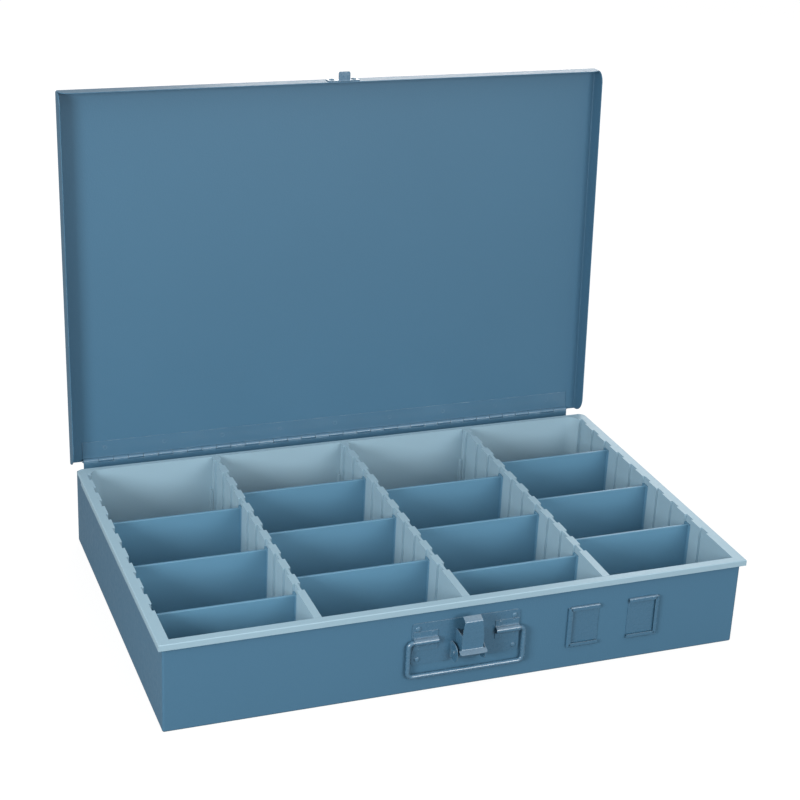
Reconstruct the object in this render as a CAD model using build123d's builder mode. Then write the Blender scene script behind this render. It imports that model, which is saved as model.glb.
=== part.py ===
from build123d import *
from math import cos, radians, sin
import os

os.makedirs("parts", exist_ok=True)

# All lengths are millimetres and all angles are degrees.
# The origin is the centre of the flat underside, +Y points to the hinge and +Z up.

# Steel case
case_length = 457.2
case_depth = 304.8
wall_height = 70.6
rear_wall_drop = 5.6
sheet = 0.8
bend_radius = 1.3
hem_height = 6.0
rear_slope_start = 32.8
rear_slope_run = 12.0

# Plastic insert that fills the case
insert_gap = 0.3
insert_wall = 1.7
insert_floor = 1.8
insert_rear_setback = 18.5
insert_corner = 16.0
rim_thickness = 2.0
rim_overhang = 3.2
rim_corner = 6.0
rim_lip = 4.8
rim_lip_thickness = 1.5
rim_lip_end_gap = 2.5
rim_headroom = 0.7
rim_edge_radius = 0.7

# Slots that the cross dividers slide into
slot_count = 10
slot_front_distance = 47.0
slot_rear_distance = 12.24
slot_width = 10.5
slot_depth = 2.0

# Long partitions and cross dividers
column_count = 4
partition_web = 2.0
partition_end_gap = 0.3
channel_rib = 1.6
channel_length = 4.0
channel_height = 42.0
divider_thickness = 2.2
divider_flange = 1.5
divider_gap = 0.3
divider_drop = 6.3
divider_edge_radius = 0.5
row_slot_count = 3
first_slots = (0, 1, 0, 1)

# Lid
lid_gap = 0.3
lid_side_gap = 0.5
lid_flange = 16.0
lid_lean = 3.2
lid_rear_margin = 1.0
flange_front_radius = 10.0
flange_rear_radius = 14.0

# Continuous hinge
knuckle_radius = 2.0
pin_radius = 0.95
pin_clearance = 0.05
pin_projection = 0.8
knuckle_count = 35
knuckle_gap = 0.3
hinge_inset = 6.2
leaf_thickness = 0.6
leaf_gap = 0.3
leaf_width = 16.0
hinge_rivet_count = 8
hinge_rivet_drop = 9.3

# Rivets
rivet_shank = 1.2
rivet_head = 2.1
rivet_head_height = 1.0
rivet_tail = 1.9
rivet_tail_height = 0.5

# Catch plate on the front wall
plate_length = 86.0
plate_bottom = 24.0
plate_height = 34.6
plate_thickness = 0.8
plate_rivet_inset = 4.6
plate_corner = 2.5

# Latch lever and its pivot
pivot_out = 6.0
pivot_rise = 9.0
latch_pin_radius = 1.25
latch_pin_clearance = 0.06
ear_thickness = 0.8
ear_side_gap = 2.1
ear_front_gap = 0.2
lever_width = 17.0
lever_top_width = 14.0
lever_sheet = 0.8
lever_out = 14.0
lever_rise = 5.0
lever_side_height = 12.0
lever_foot_height = 4.0
lever_hub_gap = 0.6
finger_width = 21.5
finger_reach = 4.2
finger_drop = 2.0
hook_back = 5.5
hook_rise = 1.75
hook_clearance = 0.3
spring_wire = 0.35
spring_gap = 0.35
spring_turns = 5
spring_pitch = 1.6
spring_lean = 20.0

# Keeper on the lid
keeper_width = 27.0
keeper_height = 10.0
keeper_thickness = 0.8
keeper_edge = 1.9
tongue_width = 10.0
tongue_gap = 0.5
keeper_rivet_spacing = 19.0

# Bail handle and the straps that hold it
bail_wire_radius = 1.8
bail_side_gap = 3.0
bail_drop = 28.6
bail_pivot_drop = 14.6
bail_bend = 4.0
bail_end = 21.0
bail_clearance = 0.1
bail_plate_gap = 0.1
strap_end_gap = 1.0
strap_width = 19.0
strap_thickness = 0.7
strap_rivet_gap = 0.3

# Card holder on the front wall
card_left = 83.0
card_length = 76.0
card_bottom = 19.0
card_height = 34.0
clip_width = 25.5
clip_back = 0.6
clip_slot = 1.2
clip_face = 0.6
clip_lip = 3.0
clip_side = 0.7

# Heights and places that follow from the sizes above
front_y = -case_depth / 2
rear_y = case_depth / 2
rear_wall_height = wall_height - rear_wall_drop
rim_top = wall_height + rim_headroom + rim_thickness
floor_top = sheet + insert_floor
wall_outer_inset = 2 * sheet + insert_gap
slot_face_x = case_length / 2 - wall_outer_inset - insert_wall
rib_face_x = slot_face_x - slot_depth
cavity_front = front_y + wall_outer_inset + insert_wall
insert_rear = rear_y - insert_rear_setback
cavity_rear = insert_rear - insert_wall
cavity_depth = cavity_rear - cavity_front
cavity_mid = (cavity_rear + cavity_front) / 2
cavity_corner = insert_corner - rim_overhang - insert_wall
column_pitch = case_length / column_count
partition_thickness = partition_web + 2 * slot_depth
slot_pitch = (cavity_depth - slot_front_distance - slot_rear_distance) / (slot_count - 1)
slot_ys = [cavity_front + slot_front_distance + n * slot_pitch for n in range(slot_count)]
divider_top = rim_top - divider_drop

lid_overhang = rim_overhang + lid_side_gap + sheet
lid_length = case_length + 2 * lid_overhang
leaf_offset = knuckle_radius + leaf_gap
lid_inner_height = rim_top + lid_gap
hinge_y = rear_y + leaf_offset
hinge_z = lid_inner_height - leaf_offset
lid_front = hinge_y - front_y + lid_overhang
panel_outer = -(leaf_offset + sheet)
flange_edge = panel_outer + lid_flange
hinge_length = case_length - 2 * hinge_inset
knuckle_pitch = hinge_length / knuckle_count
knuckle_xs = [(n - (knuckle_count - 1) / 2) * knuckle_pitch for n in range(knuckle_count)]
base_knuckle_xs = knuckle_xs[0::2]
lid_knuckle_xs = knuckle_xs[1::2]
hinge_rivet_pitch = hinge_length / hinge_rivet_count
hinge_rivet_z = hinge_z - hinge_rivet_drop

plate_mid_z = plate_bottom + plate_height / 2
plate_top = plate_bottom + plate_height
pivot_height = plate_bottom + pivot_rise
lever_inner = lever_out - lever_sheet
lever_bottom = pivot_height + lever_rise
lever_shoulder = lever_bottom + lever_side_height
lever_neck = lever_shoulder - lever_foot_height
lever_hub_radius = pivot_out - plate_thickness - lever_hub_gap
lever_flange_x = lever_width / 2 - lever_sheet / 2
ear_radius = lever_inner - pivot_out - ear_front_gap
ear_x = lever_width / 2 + ear_side_gap + ear_thickness / 2
keeper_low = flange_edge - keeper_edge
tongue_top_height = hinge_z - keeper_low + keeper_thickness
tongue_reach = lever_inner - lid_overhang - tongue_gap
bail_half_width = plate_length / 2 + bail_side_gap
bail_pivot_height = plate_top - bail_pivot_drop
bail_out = plate_thickness + bail_plate_gap + bail_wire_radius
strap_bore = bail_wire_radius + bail_clearance
strap_mid = plate_length / 2 - strap_end_gap - strap_width / 2
strap_foot_end = bail_pivot_drop - plate_rivet_inset - rivet_head - strap_rivet_gap
card_mid_z = card_bottom + card_height / 2
clip_depth = clip_back + clip_slot + clip_face


def front_plane(out):
    """Plane parallel to the front wall, `out` in front of it, with its normal pointing forward."""
    return Plane(origin=(0, front_y - out, 0), x_dir=(1, 0, 0), z_dir=(0, -1, 0))


def rear_plane(out):
    """Plane parallel to the rear wall, `out` behind it, with its normal pointing back."""
    return Plane(origin=(0, rear_y + out, 0), x_dir=(-1, 0, 0), z_dir=(0, 1, 0))


def side_plane(x):
    """Plane across the front hardware: local x is the distance in front of the wall, local y the height."""
    return Plane(origin=(x, front_y, 0), x_dir=(0, -1, 0), z_dir=(-1, 0, 0))


def lid_plane(inward):
    """Plane parallel to the open lid: local x runs along the hinge, local y to the lid's front edge."""
    normal = (0, -cos(radians(lid_lean)), sin(radians(lid_lean)))
    return Plane(origin=(0, hinge_y, hinge_z), x_dir=(1, 0, 0), z_dir=normal).offset(inward)


def lid_section(x):
    """Plane across the open lid: local x runs from the hinge to the front edge, local y to the inside."""
    flat = lid_plane(0)
    return Plane(origin=flat.origin + Vector(x, 0, 0), x_dir=flat.y_dir, z_dir=flat.x_dir)


def lid_front_plane(out):
    """Plane parallel to the lid's front flange: local y runs from the inside of the lid to its top."""
    flat = lid_plane(0)
    edge = flat.origin + flat.y_dir * (lid_front + out)
    return Plane(origin=edge, x_dir=(1, 0, 0), z_dir=flat.y_dir)


def dots(plane, spots, radius):
    """Sketch of circles of one radius at the given places of a plane."""
    with BuildSketch(plane) as circles:
        with Locations(*spots):
            Circle(radius)
    return circles.sketch


plate_rivet_spots = [
    (x * (plate_length / 2 - plate_rivet_inset), plate_mid_z + z * (plate_height / 2 - plate_rivet_inset))
    for x in (-1, 1)
    for z in (-1, 1)
]
hinge_rivet_spots = [
    ((n - (hinge_rivet_count - 1) / 2) * hinge_rivet_pitch, hinge_rivet_z) for n in range(hinge_rivet_count)
]
keeper_mid = keeper_low - keeper_height / 2
keeper_rivet_spots = [(side * keeper_rivet_spacing / 2, -keeper_mid) for side in (-1, 1)]

# Folded steel tray: floor, four walls and a hem folded inward along the top edge
with BuildPart() as base_tray:
    with BuildSketch():
        Rectangle(case_length, case_depth)
    extrude(amount=wall_height)
    fillet(base_tray.edges().filter_by(Axis.Z), bend_radius)
    fillet(base_tray.edges().group_by(Axis.Z)[0], bend_radius)
    offset(amount=-sheet, openings=base_tray.faces().sort_by(Axis.Z)[-1])
    with BuildSketch(Plane.XY.offset(wall_height - hem_height)):
        Rectangle(case_length - sheet, case_depth - sheet)
        Rectangle(case_length - 4 * sheet, case_depth - 4 * sheet, mode=Mode.SUBTRACT)
        with Locations((0, rear_y - rear_slope_start)):
            Rectangle(case_length, case_depth, align=(Align.CENTER, Align.MIN), mode=Mode.SUBTRACT)
    extrude(amount=hem_height)
    with BuildSketch(Plane.XY.offset(rear_wall_height - hem_height)):
        with Locations((0, rear_y - sheet / 2)):
            Rectangle(case_length - sheet, 1.5 * sheet, align=(Align.CENTER, Align.MAX))
    extrude(amount=hem_height)
    with BuildSketch(Plane.YZ):
        with BuildLine():
            Polyline(
                (rear_y - rear_slope_start, wall_height + sheet),
                (rear_y - rear_slope_start, wall_height),
                (rear_y - rear_slope_start + rear_slope_run, rear_wall_height),
                (rear_y + sheet, rear_wall_height),
                (rear_y + sheet, wall_height + sheet),
                close=True,
            )
        make_face()
    extrude(amount=case_length / 2 + sheet, both=True, mode=Mode.SUBTRACT)
    extrude(dots(front_plane(0), plate_rivet_spots, rivet_shank), amount=-sheet, mode=Mode.SUBTRACT)
    extrude(dots(rear_plane(0), hinge_rivet_spots, rivet_shank), amount=-2 * sheet, mode=Mode.SUBTRACT)
base_tray.part.label = "base_tray"
export_step(base_tray.part, "parts/base_tray.step")

# One-piece insert: floor, slotted side walls and a rim that hangs over the steel edge
body_front = front_y + wall_outer_inset
rim_front = front_y - rim_overhang
rim_rear = insert_rear + rim_overhang
rim_length = case_length + 2 * rim_overhang
lip_rear = rear_y - rear_slope_start - rim_lip_end_gap
lip_depth = lip_rear - rim_front
lip_mid = (rim_front + lip_rear) / 2
channel_offset = partition_thickness / 2 + partition_end_gap + channel_rib / 2
partition_xs = [(n - column_count / 2) * column_pitch for n in range(1, column_count)]
channel_xs = [x + side * channel_offset for x in partition_xs for side in (-1, 1)]
with BuildPart() as insert_tray:
    with BuildSketch(Plane.XY.offset(sheet)):
        with Locations((0, (body_front + insert_rear) / 2)):
            Rectangle(case_length - 2 * wall_outer_inset, insert_rear - body_front)
    extrude(amount=rim_top - sheet)
    fillet(insert_tray.edges().filter_by(Axis.Z).group_by(Axis.Y)[-1], insert_corner - rim_overhang)
    with BuildSketch(Plane.XY.offset(rim_top - rim_thickness)) as rim_outline:
        with Locations((0, (rim_front + rim_rear) / 2)):
            Rectangle(rim_length, rim_rear - rim_front)
        fillet(rim_outline.vertices().group_by(Axis.Y)[-1], rim_corner)
    extrude(amount=rim_thickness)
    fillet(insert_tray.faces().sort_by(Axis.Z)[-1].edges(), rim_edge_radius)
    with BuildSketch(Plane.XY.offset(rim_top - rim_lip)):
        with Locations((0, lip_mid)):
            Rectangle(rim_length, lip_depth)
        with Locations((0, lip_mid + rim_lip_thickness)):
            Rectangle(rim_length - 2 * rim_lip_thickness, lip_depth, mode=Mode.SUBTRACT)
    extrude(amount=rim_lip - rim_thickness)
    with BuildSketch(Plane.XY.offset(floor_top)) as cavity_outline:
        with Locations((0, cavity_mid)):
            Rectangle(2 * rib_face_x, cavity_depth)
        fillet(cavity_outline.vertices().group_by(Axis.Y)[-1], cavity_corner)
        with Locations(*[(side * rib_face_x, y) for side in (-1, 1) for y in slot_ys]):
            Rectangle(2 * slot_depth, slot_width)
    extrude(amount=rim_top, mode=Mode.SUBTRACT)
    with BuildSketch(Plane.XY.offset(floor_top)):
        with Locations(*[(x, cavity_front) for x in channel_xs]):
            Rectangle(channel_rib, channel_length, align=(Align.CENTER, Align.MIN))
        with Locations(*[(x, cavity_rear) for x in channel_xs]):
            Rectangle(channel_rib, channel_length, align=(Align.CENTER, Align.MAX))
    extrude(amount=channel_height)
insert_tray.part.label = "insert_tray"
export_step(insert_tray.part, "parts/insert_tray.step")

# Long partitions, slotted on both faces, that split the insert into columns
for number, partition_x in enumerate(partition_xs, 1):
    face_xs = (partition_x - partition_thickness / 2, partition_x + partition_thickness / 2)
    with BuildPart() as long_partition:
        with BuildSketch(Plane.XY.offset(floor_top)):
            with Locations((partition_x, cavity_mid)):
                Rectangle(partition_thickness, cavity_depth - 2 * partition_end_gap)
            with Locations(*[(x, y) for x in face_xs for y in slot_ys]):
                Rectangle(2 * slot_depth, slot_width, mode=Mode.SUBTRACT)
        extrude(amount=rim_top - floor_top)
    long_partition.part.label = f"long_partition_{number}"
    export_step(long_partition.part, f"parts/long_partition_{number}.step")

# Cross dividers: thin plates with a flange at each end that slides in a pair of slots
for column, first_slot in enumerate(first_slots):
    left_x = (column - column_count / 2) * column_pitch + partition_web / 2
    right_x = (column + 1 - column_count / 2) * column_pitch - partition_web / 2
    left_x = max(left_x, -slot_face_x) + divider_gap
    right_x = min(right_x, slot_face_x) - divider_gap
    flange_xs = (left_x + divider_flange / 2, right_x - divider_flange / 2)
    for row, letter in enumerate("abc"):
        divider_y = slot_ys[first_slot + row * row_slot_count]
        with BuildPart() as cross_divider:
            with BuildSketch(Plane.XY.offset(floor_top)):
                with Locations(((left_x + right_x) / 2, divider_y)):
                    Rectangle(right_x - left_x, divider_thickness)
                with Locations(*[(x, divider_y) for x in flange_xs]):
                    Rectangle(divider_flange, slot_width - 2 * divider_gap)
            extrude(amount=divider_top - floor_top)
            top_edges = cross_divider.faces().sort_by(Axis.Z)[-1].edges()
            fillet(top_edges.filter_by(Axis.X).sort_by(SortBy.LENGTH)[-2:], divider_edge_radius)
        cross_divider.part.label = f"cross_divider_{column + 1}{letter}"
        export_step(cross_divider.part, f"parts/cross_divider_{column + 1}{letter}.step")

# Lid: flat panel with three flanges whose ends are rounded
front_round = lid_front - flange_front_radius
rear_round = flange_rear_radius - lid_rear_margin
with BuildPart() as lid_pan:
    with BuildSketch(lid_plane(panel_outer)):
        with Locations((0, (lid_front - lid_rear_margin) / 2)):
            Rectangle(lid_length, lid_front + lid_rear_margin)
    extrude(amount=sheet)
    for side in (-1, 1):
        with BuildSketch(lid_section(side * (lid_length - sheet) / 2)):
            with BuildLine():
                Polyline(
                    (-lid_rear_margin, flange_edge - flange_rear_radius),
                    (-lid_rear_margin, panel_outer),
                    (lid_front, panel_outer),
                    (lid_front, flange_edge - flange_front_radius),
                )
                CenterArc((front_round, flange_edge - flange_front_radius), flange_front_radius, 0, 90)
                Line((front_round, flange_edge), (rear_round, flange_edge))
                CenterArc((rear_round, flange_edge - flange_rear_radius), flange_rear_radius, 90, 90)
            make_face()
        extrude(amount=sheet / 2, both=True)
    with BuildSketch(lid_front_plane(0)):
        with BuildLine():
            corner_x = lid_length / 2 - flange_front_radius
            corner_y = flange_front_radius - flange_edge
            CenterArc((-corner_x, corner_y), flange_front_radius, 180, 90)
            Line((-corner_x, -flange_edge), (corner_x, -flange_edge))
            CenterArc((corner_x, corner_y), flange_front_radius, 270, 90)
            Polyline(
                (lid_length / 2, corner_y),
                (lid_length / 2, -panel_outer),
                (-lid_length / 2, -panel_outer),
                (-lid_length / 2, corner_y),
            )
        make_face()
    extrude(amount=-sheet)
    extrude(dots(lid_front_plane(0), keeper_rivet_spots, rivet_shank), amount=-sheet, mode=Mode.SUBTRACT)
lid_pan.part.label = "lid_pan"
export_step(lid_pan.part, "parts/lid_pan.step")

# Keeper: plate on the lid's front flange with a tongue that the latch hooks over
keeper_holes = dots(lid_front_plane(0), keeper_rivet_spots, rivet_shank)
with BuildPart() as lid_keeper:
    with BuildSketch(lid_front_plane(0)):
        with Locations((0, -keeper_mid)):
            Rectangle(keeper_width, keeper_height)
    extrude(amount=keeper_thickness)
    with BuildSketch(lid_front_plane(0)):
        with Locations((0, keeper_thickness / 2 - keeper_low)):
            Rectangle(tongue_width, keeper_thickness)
    extrude(amount=tongue_reach)
    extrude(keeper_holes, amount=keeper_thickness, mode=Mode.SUBTRACT)
lid_keeper.part.label = "lid_keeper"
export_step(lid_keeper.part, "parts/lid_keeper.step")

# Continuous hinge: each leaf is a strip with rolled knuckles, cut away where the other leaf's knuckles sit
knuckle_cut = knuckle_pitch + knuckle_gap
with BuildPart() as hinge_leaf_base:
    with BuildSketch(Plane.YZ):
        with Locations((hinge_y, hinge_z)):
            Circle(knuckle_radius)
        with Locations((rear_y, hinge_z)):
            Rectangle(leaf_thickness, leaf_width, align=(Align.MIN, Align.MAX))
        with Locations((hinge_y, hinge_z)):
            Circle(pin_radius + pin_clearance, mode=Mode.SUBTRACT)
    extrude(amount=hinge_length / 2, both=True)
    with Locations(*[(x, hinge_y, hinge_z) for x in lid_knuckle_xs]):
        Box(knuckle_cut, 2 * leaf_offset, 2 * leaf_offset, mode=Mode.SUBTRACT)
    extrude(dots(rear_plane(0), hinge_rivet_spots, rivet_shank), amount=leaf_thickness, mode=Mode.SUBTRACT)
hinge_leaf_base.part.label = "hinge_leaf_base"
export_step(hinge_leaf_base.part, "parts/hinge_leaf_base.step")

with BuildPart() as hinge_leaf_lid:
    with BuildSketch(lid_section(0)):
        Circle(knuckle_radius)
        with Locations((0, -leaf_offset)):
            Rectangle(leaf_width, leaf_thickness, align=(Align.MIN, Align.MIN))
        Circle(pin_radius + pin_clearance, mode=Mode.SUBTRACT)
    extrude(amount=hinge_length / 2, both=True)
    for x in base_knuckle_xs:
        with BuildSketch(lid_section(x)):
            Rectangle(2 * leaf_offset, 2 * leaf_offset)
        extrude(amount=knuckle_cut / 2, both=True, mode=Mode.SUBTRACT)
hinge_leaf_lid.part.label = "hinge_leaf_lid"
export_step(hinge_leaf_lid.part, "parts/hinge_leaf_lid.step")

with BuildPart() as hinge_pin:
    with BuildSketch(Plane.YZ):
        with Locations((hinge_y, hinge_z)):
            Circle(pin_radius)
    extrude(amount=hinge_length / 2 + pin_projection, both=True)
    chamfer(hinge_pin.edges().filter_by(GeomType.CIRCLE), pin_radius / 3)
hinge_pin.part.label = "hinge_pin"
export_step(hinge_pin.part, "parts/hinge_pin.step")

# Catch plate: flat plate on the front wall with two rounded ears for the latch pin
plate_holes = dots(front_plane(0), plate_rivet_spots, rivet_shank)
with BuildPart() as catch_plate:
    with BuildSketch(front_plane(0)):
        with Locations((0, plate_mid_z)):
            RectangleRounded(plate_length, plate_height, plate_corner)
    extrude(amount=plate_thickness)
    for side in (-1, 1):
        with BuildSketch(side_plane(side * ear_x)):
            with Locations((pivot_out, pivot_height)):
                Circle(ear_radius)
            with Locations((plate_thickness / 2, pivot_height)):
                Rectangle(pivot_out - plate_thickness / 2, 2 * ear_radius, align=(Align.MIN, Align.CENTER))
                Rectangle(pivot_out, 2 * ear_radius, align=(Align.MAX, Align.CENTER), mode=Mode.SUBTRACT)
            with Locations((pivot_out, pivot_height)):
                Circle(latch_pin_radius, mode=Mode.SUBTRACT)
        extrude(amount=ear_thickness / 2, both=True)
    extrude(plate_holes, amount=plate_thickness, mode=Mode.SUBTRACT)
catch_plate.part.label = "catch_plate"
export_step(catch_plate.part, "parts/catch_plate.step")

with BuildPart() as latch_pin:
    pin_half_length = ear_x + ear_thickness / 2
    with BuildSketch(side_plane(0)):
        with Locations((pivot_out, pivot_height)):
            Circle(latch_pin_radius)
    extrude(amount=pin_half_length, both=True)
    for side in (-1, 1):
        with BuildSketch(side_plane(side * pin_half_length)):
            with Locations((pivot_out, pivot_height)):
                Circle(rivet_head)
        extrude(amount=-side * rivet_head_height)
latch_pin.part.label = "latch_pin"
export_step(latch_pin.part, "parts/latch_pin.step")

# Latch lever: bent sheet with a hook at the top, a finger lip below and two flanges on the pin
hook_low = tongue_top_height + hook_clearance
hook_tip = lever_out - hook_back
finger_tip = lever_out + finger_reach
with BuildPart() as latch_lever:
    with BuildSketch(front_plane(lever_inner)):
        with BuildLine():
            Polyline(
                (-lever_width / 2, lever_bottom),
                (lever_width / 2, lever_bottom),
                (lever_width / 2, lever_shoulder),
                (lever_top_width / 2, hook_low),
                (-lever_top_width / 2, hook_low),
                (-lever_width / 2, lever_shoulder),
                close=True,
            )
        make_face()
    extrude(amount=lever_sheet)
    with BuildSketch(side_plane(0)):
        with BuildLine():
            Polyline(
                (lever_inner, hook_low - lever_sheet),
                (lever_inner, hook_low),
                (hook_tip, hook_low + hook_rise),
                (hook_tip, hook_low + hook_rise + lever_sheet),
                (lever_out, hook_low + lever_sheet),
                (lever_out, hook_low - lever_sheet),
                close=True,
            )
        make_face()
    extrude(amount=lever_top_width / 2, both=True)
    with BuildSketch(side_plane(0)):
        with BuildLine():
            Polyline(
                (lever_inner, lever_bottom),
                (finger_tip, lever_bottom - finger_drop),
                (finger_tip, lever_bottom - finger_drop + lever_sheet),
                (lever_out, lever_bottom + lever_sheet),
                (lever_inner, lever_bottom + lever_sheet),
                close=True,
            )
        make_face()
    extrude(amount=finger_width / 2, both=True)
    for side in (-1, 1):
        with BuildSketch(side_plane(side * lever_flange_x)):
            with BuildLine():
                Polyline(
                    (lever_out - lever_sheet / 2, lever_bottom + lever_sheet / 2),
                    (lever_out - lever_sheet / 2, lever_shoulder),
                    (plate_thickness, lever_shoulder),
                    (plate_thickness, lever_neck),
                    (pivot_out - lever_hub_radius, pivot_height),
                    (pivot_out, pivot_height - lever_hub_radius),
                    close=True,
                )
            make_face()
            with Locations((pivot_out, pivot_height)):
                Circle(lever_hub_radius)
                Circle(latch_pin_radius + latch_pin_clearance, mode=Mode.SUBTRACT)
        extrude(amount=lever_sheet / 2, both=True)
latch_lever.part.label = "latch_lever"
export_step(latch_lever.part, "parts/latch_lever.step")

# Torsion spring around the latch pin, with one leg on the plate and one behind the lever
spring_radius = latch_pin_radius + spring_gap + spring_wire
spring_length = (spring_turns + (180 - 2 * spring_lean) / 360) * spring_pitch
leg_start = spring_radius * cos(radians(spring_lean)) + spring_gap + spring_wire
lever_leg = (lever_inner - pivot_out - leg_start) / sin(radians(spring_lean))
plate_leg = (pivot_out - plate_thickness - leg_start) / sin(radians(spring_lean))
with BuildPart() as latch_spring:
    with BuildLine() as spring_path:
        coil = Helix(
            pitch=spring_pitch,
            height=spring_length,
            radius=spring_radius,
            center=(-spring_length / 2, front_y - pivot_out, pivot_height),
            direction=(1, 0, 0),
            mode=Mode.PRIVATE,
        )
        pin_axis = Axis((0, front_y - pivot_out, pivot_height), (1, 0, 0))
        coil = add(coil.rotate(pin_axis, 90 + spring_lean)).edges()[0]
        Line(coil @ 0, coil @ 0 - (coil % 0) * lever_leg)
        Line(coil @ 1, coil @ 1 + (coil % 1) * plate_leg)
    with BuildSketch(Plane(origin=spring_path.line @ 0, z_dir=spring_path.line % 0)):
        Circle(spring_wire)
    sweep(is_frenet=True, transition=Transition.ROUND)
latch_spring.part.label = "latch_spring"
export_step(latch_spring.part, "parts/latch_spring.step")

# Bail handle: one bent wire whose ends turn inward under the straps
with BuildPart() as bail_handle:
    bail_y = front_y - bail_out
    bail_low = bail_pivot_height - bail_drop
    with BuildLine() as wire_path:
        FilletPolyline(
            (-bail_half_width + bail_end, bail_y, bail_pivot_height),
            (-bail_half_width, bail_y, bail_pivot_height),
            (-bail_half_width, bail_y, bail_low),
            (bail_half_width, bail_y, bail_low),
            (bail_half_width, bail_y, bail_pivot_height),
            (bail_half_width - bail_end, bail_y, bail_pivot_height),
            radius=bail_bend,
        )
    with BuildSketch(Plane(origin=wire_path.line @ 0, z_dir=wire_path.line % 0)):
        Circle(bail_wire_radius)
    sweep()
bail_handle.part.label = "bail_handle"
export_step(bail_handle.part, "parts/bail_handle.step")

# Straps: half-round loops with a foot above and below, one over each end of the bail
loop_radius = strap_bore + strap_thickness
for name, side in (("left", -1), ("right", 1)):
    with BuildPart() as bail_strap:
        with BuildSketch(side_plane(side * strap_mid)):
            with Locations((bail_out, bail_pivot_height)):
                Circle(loop_radius)
            with Locations((plate_thickness, bail_pivot_height)):
                Rectangle(bail_out - plate_thickness, 2 * loop_radius, align=(Align.MIN, Align.CENTER))
                Rectangle(strap_thickness, 2 * strap_foot_end, align=(Align.MIN, Align.CENTER))
            with Locations((bail_out, bail_pivot_height)):
                Circle(strap_bore, mode=Mode.SUBTRACT)
            with Locations((0, bail_pivot_height)):
                Rectangle(bail_out, 2 * strap_bore, align=(Align.MIN, Align.CENTER), mode=Mode.SUBTRACT)
            with Locations((plate_thickness, bail_pivot_height)):
                Rectangle(bail_out, 4 * bail_drop, align=(Align.MAX, Align.CENTER), mode=Mode.SUBTRACT)
        extrude(amount=strap_width / 2, both=True)
    bail_strap.part.label = f"bail_strap_{name}"
    export_step(bail_strap.part, f"parts/bail_strap_{name}.step")

# Card holder: two flat clips with a lip on three sides and a slot behind the lip
for name, outer_x, open_side in (("left", card_left, 1), ("right", card_left + card_length, -1)):
    clip_mid = outer_x + open_side * clip_width / 2
    with BuildPart() as card_clip:
        with BuildSketch(front_plane(0)):
            with Locations((clip_mid, card_mid_z)):
                Rectangle(clip_width, card_height)
        extrude(amount=clip_depth)
        with BuildSketch(front_plane(clip_back)):
            with Locations((clip_mid + open_side * clip_side, card_mid_z)):
                Rectangle(clip_width, card_height - 2 * clip_side)
        extrude(amount=clip_slot, mode=Mode.SUBTRACT)
        with BuildSketch(front_plane(clip_back)):
            with Locations((clip_mid + open_side * clip_lip, card_mid_z)):
                Rectangle(clip_width, card_height - 2 * clip_lip)
        extrude(amount=clip_depth, mode=Mode.SUBTRACT)
    card_clip.part.label = f"card_clip_{name}"
    export_step(card_clip.part, f"parts/card_clip_{name}.step")

# Rivets: a domed head on the outer face, a shank through the sheets and a flat tail behind them
for name, face, spots, grip in (
    ("plate_rivets", front_plane(plate_thickness), plate_rivet_spots, plate_thickness + sheet),
    ("hinge_rivets", rear_plane(leaf_thickness), hinge_rivet_spots, leaf_thickness + 2 * sheet),
    ("keeper_rivets", lid_front_plane(keeper_thickness), keeper_rivet_spots, keeper_thickness + sheet),
):
    with BuildPart() as rivet_row:
        extrude(dots(face, spots, rivet_head), amount=rivet_head_height)
        head_tops = rivet_row.faces().sort_by(Axis(face.origin, face.z_dir))[-len(spots):]
        fillet(head_tops.edges(), 0.8 * rivet_head_height)
        extrude(dots(face, spots, rivet_shank), amount=-grip)
        extrude(dots(face.offset(-grip), spots, rivet_tail), amount=-rivet_tail_height)
    rivet_row.part.label = name
    export_step(rivet_row.part, f"parts/{name}.step")
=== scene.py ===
"""Looks of a painted steel compartment box with a plastic insert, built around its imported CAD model."""

import logging
import math
from dataclasses import dataclass
from enum import Enum
from functools import cached_property

import bmesh
import bpy
from mathutils import Matrix, Vector


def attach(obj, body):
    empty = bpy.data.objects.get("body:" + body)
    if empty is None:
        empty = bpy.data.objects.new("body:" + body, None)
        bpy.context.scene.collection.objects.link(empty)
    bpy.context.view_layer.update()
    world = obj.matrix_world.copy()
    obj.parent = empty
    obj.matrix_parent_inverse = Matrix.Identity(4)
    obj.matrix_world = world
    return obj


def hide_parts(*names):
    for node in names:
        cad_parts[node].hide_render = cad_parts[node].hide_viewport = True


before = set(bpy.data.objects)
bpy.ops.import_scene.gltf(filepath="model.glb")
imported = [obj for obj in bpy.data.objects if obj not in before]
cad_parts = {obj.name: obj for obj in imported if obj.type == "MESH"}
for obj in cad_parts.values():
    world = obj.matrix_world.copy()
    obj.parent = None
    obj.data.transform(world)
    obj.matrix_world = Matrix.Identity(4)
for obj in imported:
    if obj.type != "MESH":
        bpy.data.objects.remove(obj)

MM = 0.001
# Radius in millimetres at which a turned part closes.
POLE = 0.05
LOG = logging.getLogger("compartment_box")
Colour = tuple[float, float, float]
Flat = tuple[float, float]
Station = tuple[float, float, float]
Socket = bpy.types.NodeSocket
Tree = bpy.types.NodeTree


class Slot(Enum):
    """Material slots of the record that the pieces take their finish from."""

    CASE = "case_paint"
    FITTING = "fitting_paint"
    HINGE = "hinge_steel"
    BRIGHT = "bright_steel"
    RIVET = "rivet_steel"
    SPRING = "spring_steel"
    INSERT = "insert_plastic"
    DIVIDER = "divider_plastic"


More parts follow.
